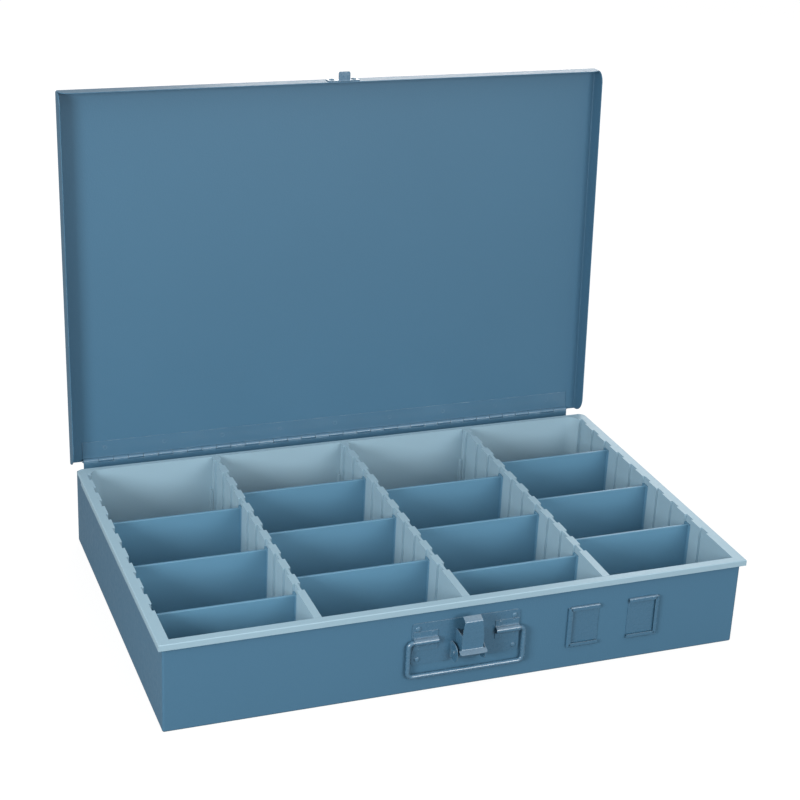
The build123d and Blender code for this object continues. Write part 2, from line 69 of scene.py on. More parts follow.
class NodeBench:
    """Adds nodes to one node tree and joins them."""

    def __init__(self, tree: Tree) -> None:
        """Keep the tree that the nodes go into."""
        self.tree = tree
        self.column = 0

    def join(self, value: object, socket: Socket) -> None:
        """Feed an input.

        Args:
            value: plain value, or the socket that it comes from.
            socket: the input.
        """
        if isinstance(value, Socket):
            self.tree.links.new(value, socket)
        else:
            socket.default_value = value

    def add(self, kind: str, inputs: dict | None = None, **settings: object) -> bpy.types.Node:
        """Add one node.

        Args:
            kind: Blender's type name of the node.
            inputs: socket name or number to a value or to a socket that feeds it.
            settings: properties of the node.

        Returns:
            The new node.
        """
        node = self.tree.nodes.new(kind)
        node.location = (self.column * 190.0, 0.0)
        self.column += 1
        for name, value in settings.items():
            setattr(node, name, value)
        for key, value in (inputs or {}).items():
            self.join(value, node.inputs[key])
        return node

    def maths(self, operation: str, first: object, second: object, clamp: bool = False) -> Socket:
        """Add a Math node.

        Args:
            operation: Blender's name of the operation.
            first: first value or socket.
            second: second value or socket.
            clamp: whether the result stays between 0 and 1.

        Returns:
            The result socket.
        """
        node = self.add("ShaderNodeMath", {0: first, 1: second}, operation=operation, use_clamp=clamp)
        return node.outputs[0]

    def mix(self, mask: object, first: object, second: object) -> Socket:
        """Blend two colours: the mask is the share of the second one."""
        return self.add("ShaderNodeMix", {0: mask, 6: first, 7: second}, data_type="RGBA").outputs[2]

    def span(self, value: object, source: Flat, low: object = 0.0, high: object = 1.0) -> Socket:
        """Stretch one range of a value to another, and hold it within its ends.

        Args:
            value: the value.
            source: ends of the range that is stretched.
            low: result at the first end.
            high: result at the second end.

        Returns:
            The result socket.
        """
        ends = {"From Min": source[0], "From Max": source[1], "To Min": low, "To Max": high}
        return self.add("ShaderNodeMapRange", {"Value": value, **ends}).outputs[0]

    def noise(
        self, scale: object, detail: object, roughness: float, place: Socket | None = None
    ) -> Socket:
        """Add a noise texture.

        Args:
            scale: number of clouds to a metre.
            detail: number of finer layers.
            roughness: strength of the finer layers.
            place: where it is looked up, or None for the place in the object.

        Returns:
            The noise, between 0 and 1.
        """
        if place is None:
            place = self.add("ShaderNodeTexCoord").outputs["Object"]
        settings = {"Vector": place, "Scale": scale, "Detail": detail, "Roughness": roughness}
        return self.add("ShaderNodeTexNoise", settings).outputs[0]

    def group(self, tree: Tree, **inputs: object) -> Socket:
        """Place a shared group and give its result."""
        return self.add("ShaderNodeGroup", inputs, node_tree=tree).outputs[0]


class GroupShop:
    """Shared shader groups, each built on its first use."""

    def begin(self, name: str, **inputs: object) -> tuple[NodeBench, bpy.types.NodeOutputs]:
        """Start a group.

        Args:
            name: name of the group.
            inputs: name of each input and its default, which also settles its type.

        Returns:
            A bench on the group, and what its input node hands out.
        """
        kinds = {1: "NodeSocketFloat", 3: "NodeSocketVector", 4: "NodeSocketColor"}
        tree = bpy.data.node_groups.new(name, "ShaderNodeTree")
        for label, default in inputs.items():
            size = 1 if isinstance(default, float) else len(default)
            socket = tree.interface.new_socket(name=label, in_out="INPUT", socket_type=kinds[size])
            socket.default_value = default
        bench = NodeBench(tree)
        return bench, bench.add("NodeGroupInput").outputs

    def end(self, bench: NodeBench, result: Socket) -> Tree:
        """Give a group its one result.

        Args:
            bench: bench on the group.
            result: socket of the result.

        Returns:
            The finished group.
        """
        kind = "NodeSocketColor" if result.type == "RGBA" else "NodeSocketFloat"
        bench.tree.interface.new_socket(name="Result", in_out="OUTPUT", socket_type=kind)
        bench.add("NodeGroupOutput", {0: result})
        return bench.tree

    @cached_property
    def colour_drift(self) -> Tree:
        """Group that makes a colour lighter and darker in soft clouds."""
        bench, given = self.begin("colour_drift", Color=(0.5, 0.5, 0.5, 1.0), Spread=0.05, Scale=10.0)
        clouds = bench.noise(given["Scale"], detail=4.0, roughness=0.55)
        swing = bench.maths("MULTIPLY", bench.maths("SUBTRACT", clouds, 0.5), given["Spread"])
        gain = bench.maths("ADD", bench.maths("MULTIPLY", swing, 2.0), 1.0)
        toned = bench.add("ShaderNodeHueSaturation", {"Color": given["Color"], "Value": gain})
        return self.end(bench, toned.outputs[0])

    @cached_property
    def surface_grain(self) -> Tree:
        """Group that gives fine grain between two values."""
        bench, given = self.begin("surface_grain", Scale=500.0, Detail=2.0, Low=0.0, High=1.0)
        grain = bench.noise(given["Scale"], given["Detail"], roughness=0.5)
        return self.end(bench, bench.span(grain, (0.3, 0.7), given["Low"], given["High"]))

    @cached_property
    def edge_wear_and_highlight(self) -> Tree:
        """Group that masks the edges, where a rounded normal differs from the true one, for wear and painted
        edge highlight.
        """
        bench, given = self.begin("edge_wear_and_highlight", Amount=0.5, Reach=0.0005, Scale=120.0)
        flat, steepness = 0.995, 9.0
        facing = bench.add("ShaderNodeNewGeometry").outputs["Normal"]
        turned = bench.add("ShaderNodeBevel", {"Radius": given["Reach"]}, samples=4).outputs[0]
        alike = bench.add("ShaderNodeVectorMath", {0: turned, 1: facing}, operation="DOT_PRODUCT")
        apart = bench.maths("SUBTRACT", flat, alike.outputs["Value"])
        edge = bench.maths("MULTIPLY", apart, steepness, clamp=True)
        breakup = bench.noise(given["Scale"], detail=5.0, roughness=0.65)
        worn_and_lit = bench.maths("MULTIPLY", edge, bench.span(breakup, (0.45, 0.62)))
        return self.end(bench, bench.maths("MULTIPLY", worn_and_lit, given["Amount"], clamp=True))

    @cached_property
    def dust_and_top_light(self) -> Tree:
        """Group that masks the upward faces, for fine dust and for painted top light."""
        bench, given = self.begin("dust_and_top_light", Amount=0.2, Scale=40.0)
        steepest, gain = 0.4, 1.7
        normal = bench.add("ShaderNodeNewGeometry").outputs["Normal"]
        rise = bench.add("ShaderNodeSeparateXYZ", {0: normal}).outputs["Z"]
        upward = bench.maths("MULTIPLY", bench.maths("SUBTRACT", rise, steepest), gain, clamp=True)
        # Upward faces are lightened here: fine dust, and painted top light where the amount is large.
        dusted_and_lit = bench.maths("MULTIPLY", upward, bench.noise(given["Scale"], detail=6.0, roughness=0.7))
        return self.end(bench, bench.maths("MULTIPLY", dusted_and_lit, given["Amount"], clamp=True))

    @cached_property
    def drawn_lines(self) -> Tree:
        """Group that gives fine lines drawn along one direction, for bare steel."""
        bench, given = self.begin("drawn_lines", Stretch=(20.0, 900.0, 900.0), Low=0.0, High=1.0)
        place = bench.add("ShaderNodeTexCoord").outputs["Object"]
        drawn = bench.add("ShaderNodeVectorMath", {0: place, 1: given["Stretch"]}, operation="MULTIPLY")
        lines = bench.noise(1.0, detail=3.0, roughness=0.6, place=drawn.outputs[0])
        return self.end(bench, bench.span(lines, (0.25, 0.75), given["Low"], given["High"]))


@dataclass(frozen=True)
class Finish:
    """One surface finish: its colour and how it drifts, its roughness, its grain, and its dust and painted
    top light on upward faces.
    """

    name: str
    colour: Colour
    roughness: float
    rough_spread: float
    drift: float
    drift_scale: float
    grain_scale: float
    grain_height: float
    rough_grain: float = 0.3
    # Upward faces blend to a pale colour: fine dust, and painted top light where the share is large.
    dust_and_light: float = 0.0
    dust_and_light_scale: float = 60.0
    dust_and_light_colour: Colour = (0.55, 0.55, 0.53)

    def constants(self) -> dict[str, float]:
        """Values that the shader's own sockets take, by name."""
        return {}

    def treat(self, bench: NodeBench, shop: GroupShop, colour: Socket) -> Socket:
        """Colour below the dust and painted top light, which is the plain one unless the kind of finish
        changes it.
        """
        return colour

    def make(self, shop: GroupShop) -> bpy.types.Material:
        """Build the material from the shared groups.

        Args:
            shop: the shared groups.

        Returns:
            The material.
        """
        material = bpy.data.materials.new(self.name)
        material.use_nodes = True
        bench = NodeBench(material.node_tree)
        shader = material.node_tree.nodes["Principled BSDF"].inputs
        for label, value in self.constants().items():
            shader[label].default_value = value
        plain = (*self.colour, 1.0)
        colour = bench.group(shop.colour_drift, Color=plain, Spread=self.drift, Scale=self.drift_scale)
        low, high = self.roughness - self.rough_spread, self.roughness + self.rough_spread
        coarse = self.grain_scale * self.rough_grain
        rough = bench.group(shop.surface_grain, Scale=coarse, Detail=4.0, Low=low, High=high)
        peel = bench.group(shop.surface_grain, Scale=self.grain_scale)
        bump = bench.add("ShaderNodeBump", {"Distance": self.grain_height, "Height": peel, "Strength": 1.0})
        bench.join(rough, shader["Roughness"])
        bench.join(bump.outputs[0], shader["Normal"])
        colour = self.treat(bench, shop, colour)
        # Upward faces are lightened towards a pale colour: fine dust on the case and plastic, painted top
        # light on the fittings.
        if self.dust_and_light > 0.0:
            mask = bench.group(shop.dust_and_top_light, Amount=self.dust_and_light, Scale=self.dust_and_light_scale)
            colour = bench.mix(mask, colour, (*self.dust_and_light_colour, 1.0))
        bench.join(colour, shader["Base Color"])
        return material


@dataclass(frozen=True)
class Enamel(Finish):
    """Baked enamel on sheet steel: a little orange peel, its edges lightened, partly rubbed thin and partly
    painted highlight.
    """

    # Edge wear lightens the edges towards a pale blue: rubbed paint, and painted edge highlight.
    wear_and_highlight: float = 0.5
    wear_and_highlight_reach: float = 0.0005
    wear_and_highlight_scale: float = 150.0
    wear_and_highlight_colour: Colour = (0.25, 0.36, 0.42)
    coat: float = 0.5
    coat_roughness: float = 0.22
    gloss: float = 0.6
    ior: float = 1.5

    def constants(self) -> dict[str, float]:
        """Values of the coat and the gloss."""
        coat = {"Coat Weight": self.coat, "Coat Roughness": self.coat_roughness}
        return {**coat, "IOR": self.ior, "Specular IOR Level": self.gloss}

    def treat(self, bench: NodeBench, shop: GroupShop, colour: Socket) -> Socket:
        """Colour with the edges lightened: rubbed thin, and painted edge highlight."""
        worn_and_lit = bench.group(shop.edge_wear_and_highlight, Amount=self.wear_and_highlight, Reach=self.wear_and_highlight_reach, Scale=self.wear_and_highlight_scale)
        return bench.mix(worn_and_lit, colour, (*self.wear_and_highlight_colour, 1.0))


@dataclass(frozen=True)
class MouldedPlastic(Finish):
    """Injection-moulded plastic with a fine texture."""

    dust_and_light: float = 0.04
    ior: float = 1.49

    def constants(self) -> dict[str, float]:
        """The plastic's index of refraction."""
        return {"IOR": self.ior}


@dataclass(frozen=True)
class BareSteel(Finish):
    """Bare steel wire with drawn lines."""

    stretch: tuple[float, float, float] = (20.0, 900.0, 900.0)
    darkest: float = 0.88
    lightest: float = 1.1

    def constants(self) -> dict[str, float]:
        """Value that makes the surface metallic."""
        return {"Metallic": 1.0}

    def treat(self, bench: NodeBench, shop: GroupShop, colour: Socket) -> Socket:
        """Colour with the drawn lines."""
        lines = bench.group(shop.drawn_lines, Stretch=self.stretch, Low=self.darkest, High=self.lightest)
        return bench.add("ShaderNodeHueSaturation", {"Color": colour, "Value": lines}).outputs[0]


class FinishRack:
    """All finishes of the box, one material for each slot."""

    def __init__(self) -> None:
        """Build the materials."""
        shop = GroupShop()
        paint: Colour = (0.0625, 0.157, 0.247)
        trim: Colour = (0.052, 0.142, 0.23)
        pale: Colour = (0.288, 0.43, 0.513)
        blue: Colour = (0.103, 0.243, 0.358)
        steel: Colour = (0.45, 0.45, 0.46)
        dull = {"wear_and_highlight": 0.35, "coat": 0.08, "gloss": 0.25}
        bright = {"coat": 0.7, "gloss": 0.8}
        # The plain numbers are the fields of Finish from its roughness to its grain height.
        finishes = {
            Slot.CASE: Enamel("case_enamel", paint, 0.42, 0.05, 0.05, 5.0, 900.0, 4e-5, dust_and_light=0.03, **dull),
            # The fittings' large dust share is painted top light on their upward faces; their edge wear is
            # partly painted edge highlight.
            Slot.FITTING: Enamel("fitting_enamel", trim, 0.28, 0.05, 0.03, 30.0, 900.0, 2e-5, dust_and_light=0.3),
            # The hinge's strong edge wear is partly painted highlight along its knuckles.
            Slot.HINGE: Enamel("hinge_enamel", paint, 0.34, 0.06, 0.08, 40.0, 1200.0, 3e-5, wear_and_highlight=0.8),
            Slot.BRIGHT: Enamel("wire_enamel", paint, 0.26, 0.06, 0.06, 60.0, 1500.0, 2e-5, **bright),
            Slot.RIVET: Enamel("rivet_enamel", paint, 0.3, 0.06, 0.08, 80.0, 1500.0, 3e-5),
            Slot.SPRING: BareSteel("spring_wire", steel, 0.3, 0.06, 0.05, 80.0, 1500.0, 1e-5),
            Slot.INSERT: MouldedPlastic("insert_moulding", pale, 0.45, 0.05, 0.03, 9.0, 2200.0, 2e-5),
            Slot.DIVIDER: MouldedPlastic("divider_moulding", blue, 0.42, 0.05, 0.04, 12.0, 2200.0, 2e-5),
        }
        self.materials = {slot: finish.make(shop) for slot, finish in finishes.items()}

    def dress(self, piece: bpy.types.Object, slot: Slot) -> None:
        """Give a piece the material of a slot as its only material."""
        piece.data.materials.clear()
        piece.data.materials.append(self.materials[slot])


@dataclass
class CameraRig:
    """Camera at the photograph's viewing angle, given as its place and its rotation vector."""

    place: tuple[float, float, float] = (-0.47735, -1.21652, 0.72445)
    turn: tuple[float, float, float] = (1.147, -0.245, -0.287)
    focal: float = 81.58
    sensor: float = 36.0

    def build(self) -> None:
        """Create the camera."""
        data = bpy.data.cameras.new("photo_camera")
        data.lens = self.focal
        data.sensor_width = self.sensor
        data.clip_start = 0.01
        data.clip_end = 50.0
        camera = bpy.data.objects.new("photo_camera", data)
        axis = Vector(self.turn)
        spin = Matrix.Rotation(axis.length, 4, axis.normalized())
        camera.matrix_world = Matrix.Translation(Vector(self.place)) @ spin
        bpy.context.scene.collection.objects.link(camera)
        bpy.context.scene.camera = camera


@dataclass(frozen=True)
class Lamp:
    """Soft square lamp: its place and side in metres and its power in watts."""

    name: str
    place: tuple[float, float, float]
    size: float
    power: float

    def hang(self, target: Vector) -> None:
        """Hang the lamp so that it faces a point.

        Args:
            target: the point.
        """
        data = bpy.data.lights.new(self.name, "AREA")
        data.shape = "SQUARE"
        data.size = self.size
        data.energy = self.power
        lamp = bpy.data.objects.new(self.name, data)
        place = Vector(self.place)
        aim = (target - place).to_track_quat("-Z", "Y").to_matrix().to_4x4()
        lamp.matrix_world = Matrix.Translation(place) @ aim
        bpy.context.scene.collection.objects.link(lamp)


@dataclass
class Studio:
    """White floor, three soft lamps and a surround that is brighter overhead."""

    floor_half: float = 6.0
    floor_tone: float = 0.15
    floor_white: float = 0.88
    mirrored: float = 0.12
    surround: float = 0.32
    overhead: float = 1.02
    aim_height: float = 0.1
    lamps: tuple[Lamp, ...] = (
        Lamp("key_lamp", (0.6, -1.8, 0.72), 0.8, 16.8),
        Lamp("fill_lamp", (-1.36, -0.92, 0.6), 0.55, 19.0),
        Lamp("back_lamp", (0.9, 1.9, 1.1), 1.2, 14.0),
    )

    def background_share(self, bench: NodeBench) -> Socket:
        """Mask the rays that see the white background: the camera's, and in part those off gloss and glass.

        Args:
            bench: bench of the material or the world.

        Returns:
            The mask.
        """
        path = bench.add("ShaderNodeLightPath").outputs
        gloss = bench.maths("MAXIMUM", path["Is Glossy Ray"], path["Is Transmission Ray"])
        return bench.maths("MAXIMUM", path["Is Camera Ray"], bench.maths("MULTIPLY", gloss, self.mirrored))

    def build_floor(self) -> None:
        """Lay the floor under the box."""
        half, tone = self.floor_half, self.floor_tone
        mesh = bpy.data.meshes.new("floor")
        corners = [(-half, -half, 0.0), (half, -half, 0.0), (half, half, 0.0), (-half, half, 0.0)]
        mesh.from_pydata(corners, [], [(0, 1, 2, 3)])
        floor = bpy.data.objects.new("floor", mesh)
        bpy.context.scene.collection.objects.link(floor)
        material = bpy.data.materials.new("floor_card")
        material.use_nodes = True
        shader = material.node_tree.nodes["Principled BSDF"].inputs
        shader["Base Color"].default_value = (tone, tone, tone, 1.0)
        shader["Roughness"].default_value = 0.9
        shader["Specular IOR Level"].default_value = 0.0
        shader["Emission Color"].default_value = (1.0, 1.0, 1.0, 1.0)
        bench = NodeBench(material.node_tree)
        glow = bench.maths("MULTIPLY", self.background_share(bench), self.floor_white)
        bench.join(glow, shader["Emission Strength"])
        mesh.materials.append(material)

    def build_surround(self) -> None:
        """Make a pale surround, brighter overhead, that the camera sees as white."""
        world = bpy.data.worlds.new("surround")
        bpy.context.scene.world = world
        world.use_nodes = True
        bench = NodeBench(world.node_tree)
        plain = world.node_tree.nodes["Background"].inputs
        plain["Color"].default_value = (1.0, 1.0, 1.0, 1.0)
        place = bench.add("ShaderNodeTexCoord").outputs["Generated"]
        height = bench.add("ShaderNodeSeparateXYZ", {0: place}).outputs["Z"]
        rising = bench.span(height, (0.0, 1.0), self.surround, self.overhead)
        bench.join(bench.maths("MAXIMUM", self.background_share(bench), rising), plain["Strength"])

    def build(self) -> None:
        """Set up the floor, the lamps and the surround."""
        self.build_floor()
        for lamp in self.lamps:
            lamp.hang(Vector((0.0, 0.0, self.aim_height)))
        self.build_surround()
        bpy.context.scene.view_settings.view_transform = "Standard"


@dataclass(frozen=True)
class WorkPlane:
    """Flat work plane of the model, marked out in millimetres."""

    origin: Vector
    right: Vector
    up: Vector

    @property
    def out(self) -> Vector:
        """Direction that the plane faces."""
        return self.right.cross(self.up)

    def at(self, x: float, y: float, out: float = 0.0) -> Vector:
        """Give a point in metres.

        Args:
            x: distance to the right.
            y: distance up.
            out: distance in front of the plane.

        Returns:
            The point in the frame of the model.
        """
        return self.origin + (self.right * x + self.up * y + self.out * out) * MM

    def lifted(self, out: float) -> "WorkPlane":
        """The same plane, moved to its front."""
        return WorkPlane(self.at(0.0, 0.0, out), self.right, self.up)


@dataclass(frozen=True)
class BoxSizes:
    """Sizes in millimetres, and the lid's lean in degrees, that more than one sub-assembly uses."""

    length: float = 457.2
    depth: float = 304.8
    wall_height: float = 70.6
    rear_wall_height: float = 65.0
    slope_start: float = 32.8
    slope_run: float = 12.0
    sheet: float = 0.8
    plate: float = 0.8
    leaf: float = 0.6
    hinge_out: float = 2.3
    hinge_height: float = 71.3
    lid_lean: float = 3.2
    lid_front: float = 311.6

    @property
    def front(self) -> float:
        """Place of the front wall's outer face along Y."""
        return -self.depth / 2

    @property
    def rear(self) -> float:
        """Place of the rear wall's outer face along Y."""
        return self.depth / 2

    def wall(self) -> WorkPlane:
        """Outer face of the front wall."""
        return WorkPlane(Vector((0.0, self.front * MM, 0.0)), Vector((1, 0, 0)), Vector((0, 0, 1)))

    def wall_section(self, x: float = 0.0) -> WorkPlane:
        """Section across the front hardware: right is away from the wall."""
        return WorkPlane(Vector((x * MM, self.front * MM, 0.0)), Vector((0, -1, 0)), Vector((0, 0, 1)))

    def back(self) -> WorkPlane:
        """Outer face of the rear wall."""
        return WorkPlane(Vector((0.0, self.rear * MM, 0.0)), Vector((-1, 0, 0)), Vector((0, 0, 1)))

    def hinge_section(self) -> WorkPlane:
        """Section across the hinge, centred on its pin."""
        centre = Vector((0.0, (self.rear + self.hinge_out) * MM, self.hinge_height * MM))
        return WorkPlane(centre, Vector((0, 1, 0)), Vector((0, 0, 1)))

    def lid(self) -> WorkPlane:
        """Give the plane of the open lid.

        Returns:
            Plane through the hinge pin along the lid, facing its inside.
        """
        lean = math.radians(self.lid_lean)
        along = Vector((0, math.sin(lean), math.cos(lean)))
        return WorkPlane(self.hinge_section().origin, Vector((1, 0, 0)), along)

    def lid_section(self) -> WorkPlane:
        """Section across the open lid: right runs to its front edge, up to its inside."""
        lid = self.lid()
        return WorkPlane(lid.origin, lid.up, lid.out)

    def lid_face(self) -> WorkPlane:
        """Outer face of the lid's front flange."""
        lid = self.lid()
        return WorkPlane(lid.at(0.0, self.lid_front), Vector((1, 0, 0)), -lid.out)


def arc(centre: Flat, radius: float, start: float, end: float, steps: int) -> list[Flat]:
    """Points along an arc.

    Args:
        centre: centre of the arc.
        radius: its radius.
        start: first angle in degrees.
        end: last angle in degrees.
        steps: number of spans.

    Returns:
        The points, both ends included.
    """
    angles = [math.radians(start + (end - start) * k / steps) for k in range(steps + 1)]
    return [(centre[0] + radius * math.cos(a), centre[1] + radius * math.sin(a)) for a in angles]


def circle(centre: Vector, across: Vector, side: Vector, radius: float, sides: int) -> list[Vector]:
    """Ring of points in space.

    Args:
        centre: centre of the ring in metres.
        across: direction of its first point.
        side: direction of the point a quarter turn on.
        radius: radius in millimetres.
        sides: number of points.

    Returns:
        The points in metres.
    """
    turns = [math.tau * k / sides for k in range(sides)]
    return [centre + (across * math.cos(t) + side * math.sin(t)) * (radius * MM) for t in turns]


def rounded(points: list[tuple], radius: float, steps: int = 4, closed: bool = False) -> list[tuple]:
    """Round the corners of a path.

    Args:
        points: corners of the path.
        radius: radius of each corner, less where a run is too short.
        steps: spans of each corner.
        closed: whether the last point joins the first.

    Returns:
        The rounded path.
    """
    corners = [Vector(p) for p in points]
    count = len(corners)
    path: list[tuple] = []
    for index, corner in enumerate(corners):
        if not closed and index in (0, count - 1):
            path.append(tuple(corner))
            continue
        before = corner - corners[index - 1]
        after = corners[(index + 1) % count] - corner
        slope = math.tan(before.angle(after) / 2)
        reach = min(radius * slope, 0.49 * before.length, 0.49 * after.length)
        true_radius = reach / slope
        first = corner - before.normalized() * reach
        last = corner + after.normalized() * reach
        inward = (after.normalized() - before.normalized()).normalized()
        centre = corner + inward * math.hypot(reach, true_radius)
        for k in range(steps + 1):
            path.append(tuple(centre + (first - centre).slerp(last - centre, k / steps) * true_radius))
    return path


def ribbon(path: list[Flat], thickness: float) -> list[Flat]:
    """Outline of a sheet that follows a flat path.

    Args:
        path: middle line of the sheet.
        thickness: thickness of the sheet.

    Returns:
        Closed outline, one side out and the other back.
    """
    left: list[Flat] = []
    right: list[Flat] = []
    for index, point in enumerate(path):
        here = Vector(point)
        ahead = Vector(path[min(index + 1, len(path) - 1)]) - Vector(path[max(index - 1, 0)])
        normal = Vector((-ahead.y, ahead.x)).normalized() * (thickness / 2)
        left.append(tuple(here + normal))
        right.append(tuple(here - normal))
    return left + right[::-1]


def fold(bend: float, sheet: float) -> tuple[list[Flat], list[Flat]]:
    """Quarter turn between a pan's panel and its wall.

    Args:
        bend: outer radius of the turn.
        sheet: thickness of the sheet.

    Returns:
        Outer side from panel to wall and inner side back, as distance in from the wall's outer face and
        distance from the panel's outer face.
    """
    outside = arc((bend, bend), bend, 270.0, 180.0, 5)
    inside = arc((bend, bend), bend - sheet, 180.0, 270.0, 5)
    return outside, inside


def taper(tip: Flat, slope: float, half: float, cuts: tuple[Flat, ...]) -> list[Station]:
    """Narrow the end of a strip.

    Args:
        tip: end of its middle line.
        slope: how fast the middle line falls towards the tip.
        half: half of the strip's width.
        cuts: distance back from the tip, and what each half loses there.

    Returns:
        Place of the middle line and half width at each station.
    """
    return [(tip[0] - back, tip[1] + back * slope, half - cut) for back, cut in cuts]


def weld(top: float, radius: float, eye: float, dish: float) -> list[Flat]:
    """Profile of a spot weld: a raised ring around a shallow dish.

    Args:
        top: height of the sheet's face.
        radius: outer radius.
        eye: radius of the dish.
        dish: height of the dish over the face.

    Returns:
        Radius and height from the outside to the middle.
    """
    sunk, slope, ridge, fall = 0.02, 0.2, 0.12, 0.01
    rim = [(radius, top - sunk), (radius - slope, top + ridge)]
    return rim + [(eye, top + dish), (POLE, top + dish - fall)]


class Forge:
    """Collects the metal or plastic of one piece and turns it into its object."""

    def __init__(self, name: str) -> None:
        """Start an empty piece of that name."""
        self.name = name
        self.work = bmesh.new()

    def keep(self, part: bmesh.types.BMesh, edge: float) -> None:
        """Break the sharp edges of a closed part and add it to the piece.

        Args:
            part: the part's mesh, which is used up.
            edge: width of the broken edge in millimetres, or 0 for none.
        """
        bmesh.ops.recalc_face_normals(part, faces=part.faces[:])
        if edge > 0.0:
            limit = math.radians(32.0)
            sharp = [e for e in part.edges if e.is_manifold and e.calc_face_angle(0.0) > limit]
            bmesh.ops.bevel(
                part,
                geom=sharp,
                offset=edge * MM,
                offset_type="OFFSET",
                segments=2,
                profile=0.5,
                affect="EDGES",
                clamp_overlap=True,
            )
        made = bpy.data.meshes.new("part")
        part.to_mesh(made)
        part.free()
        self.work.from_mesh(made)
        bpy.data.meshes.remove(made)

    def slab(
        self,
        plane: WorkPlane,
        outline: list[Flat],
        low: float,
        high: float,
        edge: float,
        holes: tuple[list[Flat], ...] = (),
    ) -> None:
        """Cut a flat or folded part from its outline.

        Args:
            plane: plane of the outline.
            outline: closed outline.
            low: distance of one face in front of the plane.
            high: distance of the other face.
            edge: width of the broken edge.
            holes: closed outlines of holes.
        """
        part = bmesh.new()
        rings = [[part.verts.new(plane.at(x, y, low)) for x, y in ring] for ring in (outline, *holes)]
        if holes:
            edges = [part.edges.new(pair) for ring in rings for pair in zip(ring, ring[1:] + ring[:1])]
            bmesh.ops.triangle_fill(part, use_beauty=True, edges=edges)
        else:
            part.faces.new(rings[0])
        lifted = bmesh.ops.extrude_face_region(part, geom=part.faces[:])
        moved = [item for item in lifted["geom"] if isinstance(item, bmesh.types.BMVert)]
        bmesh.ops.translate(part, verts=moved, vec=plane.out * ((high - low) * MM))
        self.keep(part, edge)

    def loft(self, rings: list[list[Vector]], edge: float = 0.0) -> None:
        """Join closed rings into a capped solid.

        Args:
            rings: rings of the same number of points.
            edge: width of the broken edge.
        """
        part = bmesh.new()
        rows = [[part.verts.new(point) for point in ring] for ring in rings]
        count = len(rows[0])
        for a, b in zip(rows, rows[1:]):
            for k in range(count):
                n = (k + 1) % count
                part.faces.new((a[k], a[n], b[n], b[k]))
        part.faces.new(rows[0][::-1])
        part.faces.new(rows[-1])
        self.keep(part, edge)

    def pan(self, rows: list[list[Vector]], wrap: bool) -> None:
        """Join the sections of a folded pan, with its flat panel filled in on both faces.

        Args:
            rows: sections along the pan's edge, from the panel's outer face round to its inner face.
            wrap: whether the last section joins the first.
        """
        part = bmesh.new()
        verts = [[part.verts.new(point) for point in row] for row in rows]
        for a, b in zip(verts, verts[1:] + (verts[:1] if wrap else [])):
            for k in range(len(a) - 1):
                part.faces.new((a[k], a[k + 1], b[k + 1], b[k]))
        outer = [row[0] for row in verts]
        inner = [row[-1] for row in verts]
        part.faces.new(outer)
        part.faces.new(inner[::-1])
        if not wrap:
            part.faces.new(verts[0])
            part.faces.new(verts[-1][::-1])
            part.faces.new((outer[0], inner[0], inner[-1], outer[-1]))
        bmesh.ops.remove_doubles(part, verts=part.verts[:], dist=0.001 * MM)
        self.keep(part, 0.0)

    def strip(self, plane: WorkPlane, stations: list[Station], sheet: float, edge: float) -> None:
        """Bend a strip whose width changes along its path.

        Args:
            plane: section plane of the path.
            stations: place of the middle line and half width at each station.
            sheet: thickness of the strip.
            edge: width of the broken edge.
        """
        rings = []
        for index, (x, y, half) in enumerate(stations):
            before = stations[max(index - 1, 0)]
            after = stations[min(index + 1, len(stations) - 1)]
            ahead = Vector((after[0] - before[0], after[1] - before[1])).normalized()
            dx, dy = -ahead.y * sheet / 2, ahead.x * sheet / 2
            corners = ((dx, dy, half), (dx, dy, -half), (-dx, -dy, -half), (-dx, -dy, half))
            rings.append([plane.at(x + a, y + b, out) for a, b, out in corners])
        self.loft(rings, edge)

    def wire(self, path: list[Vector], radius: float, sides: int = 18) -> None:
        """Bend a round wire with domed ends.

        Args:
            path: points of its middle line in metres.
            radius: radius in millimetres.
            sides: points around it.
        """
        dome = [(0.55 * math.cos(a), math.sin(a)) for a in (1.15, 0.7, 0.25)]
        upright = abs((path[1] - path[0]).normalized().z) > 0.9
        across = Vector((0, 1, 0)) if upright else Vector((0, 0, 1))
        rings = []
        last = len(path) - 1
        for index, point in enumerate(path):
            along = (path[min(index + 1, last)] - path[max(index - 1, 0)]).normalized()
            across = (across - along * across.dot(along)).normalized()
            steps = [(0.0, 1.0)]
            if index == 0:
                steps = [(-shift, scale) for shift, scale in reversed(dome)] + steps
            if index == last:
                steps += dome
            for shift, scale in steps:
                centre = point + along * (shift * radius * MM)
                rings.append(circle(centre, across, along.cross(across), radius * scale, sides))
        self.loft(rings)

    def turned(self, plane: WorkPlane, centre: Flat, profile: list[Flat], sides: int) -> None:
        """Turn a round part about an axis square to a plane.

        Args:
            plane: plane that the axis is square to.
            centre: place of the axis.
            profile: radius and distance in front of the plane, from one end to the other.
            sides: points around it.
        """
        across, side = plane.right, plane.up
        self.loft([circle(plane.at(*centre, out), across, side, radius, sides) for radius, out in profile])

    def finish(self, rack: FinishRack, slot: Slot, body: str, node: str) -> None:
        """Turn the collected parts into the piece's object.

        Args:
            rack: the finishes.
            slot: finish of the piece.
            body: body that it rides on.
            node: node of the frame that it stands for.
        """
        mesh = bpy.data.meshes.new(self.name)
        self.work.to_mesh(mesh)
        self.work.free()
        mesh.polygons.foreach_set("use_smooth", [True] * len(mesh.polygons))
        mesh.set_sharp_from_angle(angle=math.radians(38.0))
        piece = bpy.data.objects.new(self.name, mesh)
        bpy.context.scene.collection.objects.link(piece)
        rack.dress(piece, slot)
        shade_evenly(piece)
        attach(piece, body)
        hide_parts(node)
        LOG.info("%s: %d faces on %s", self.name, len(mesh.polygons), body)


def shade_evenly(piece: bpy.types.Object) -> None:
    """Weight the normals by face area, so that large faces look flat."""
    even = piece.modifiers.new("even_shading", "WEIGHTED_NORMAL")
    even.keep_sharp = True


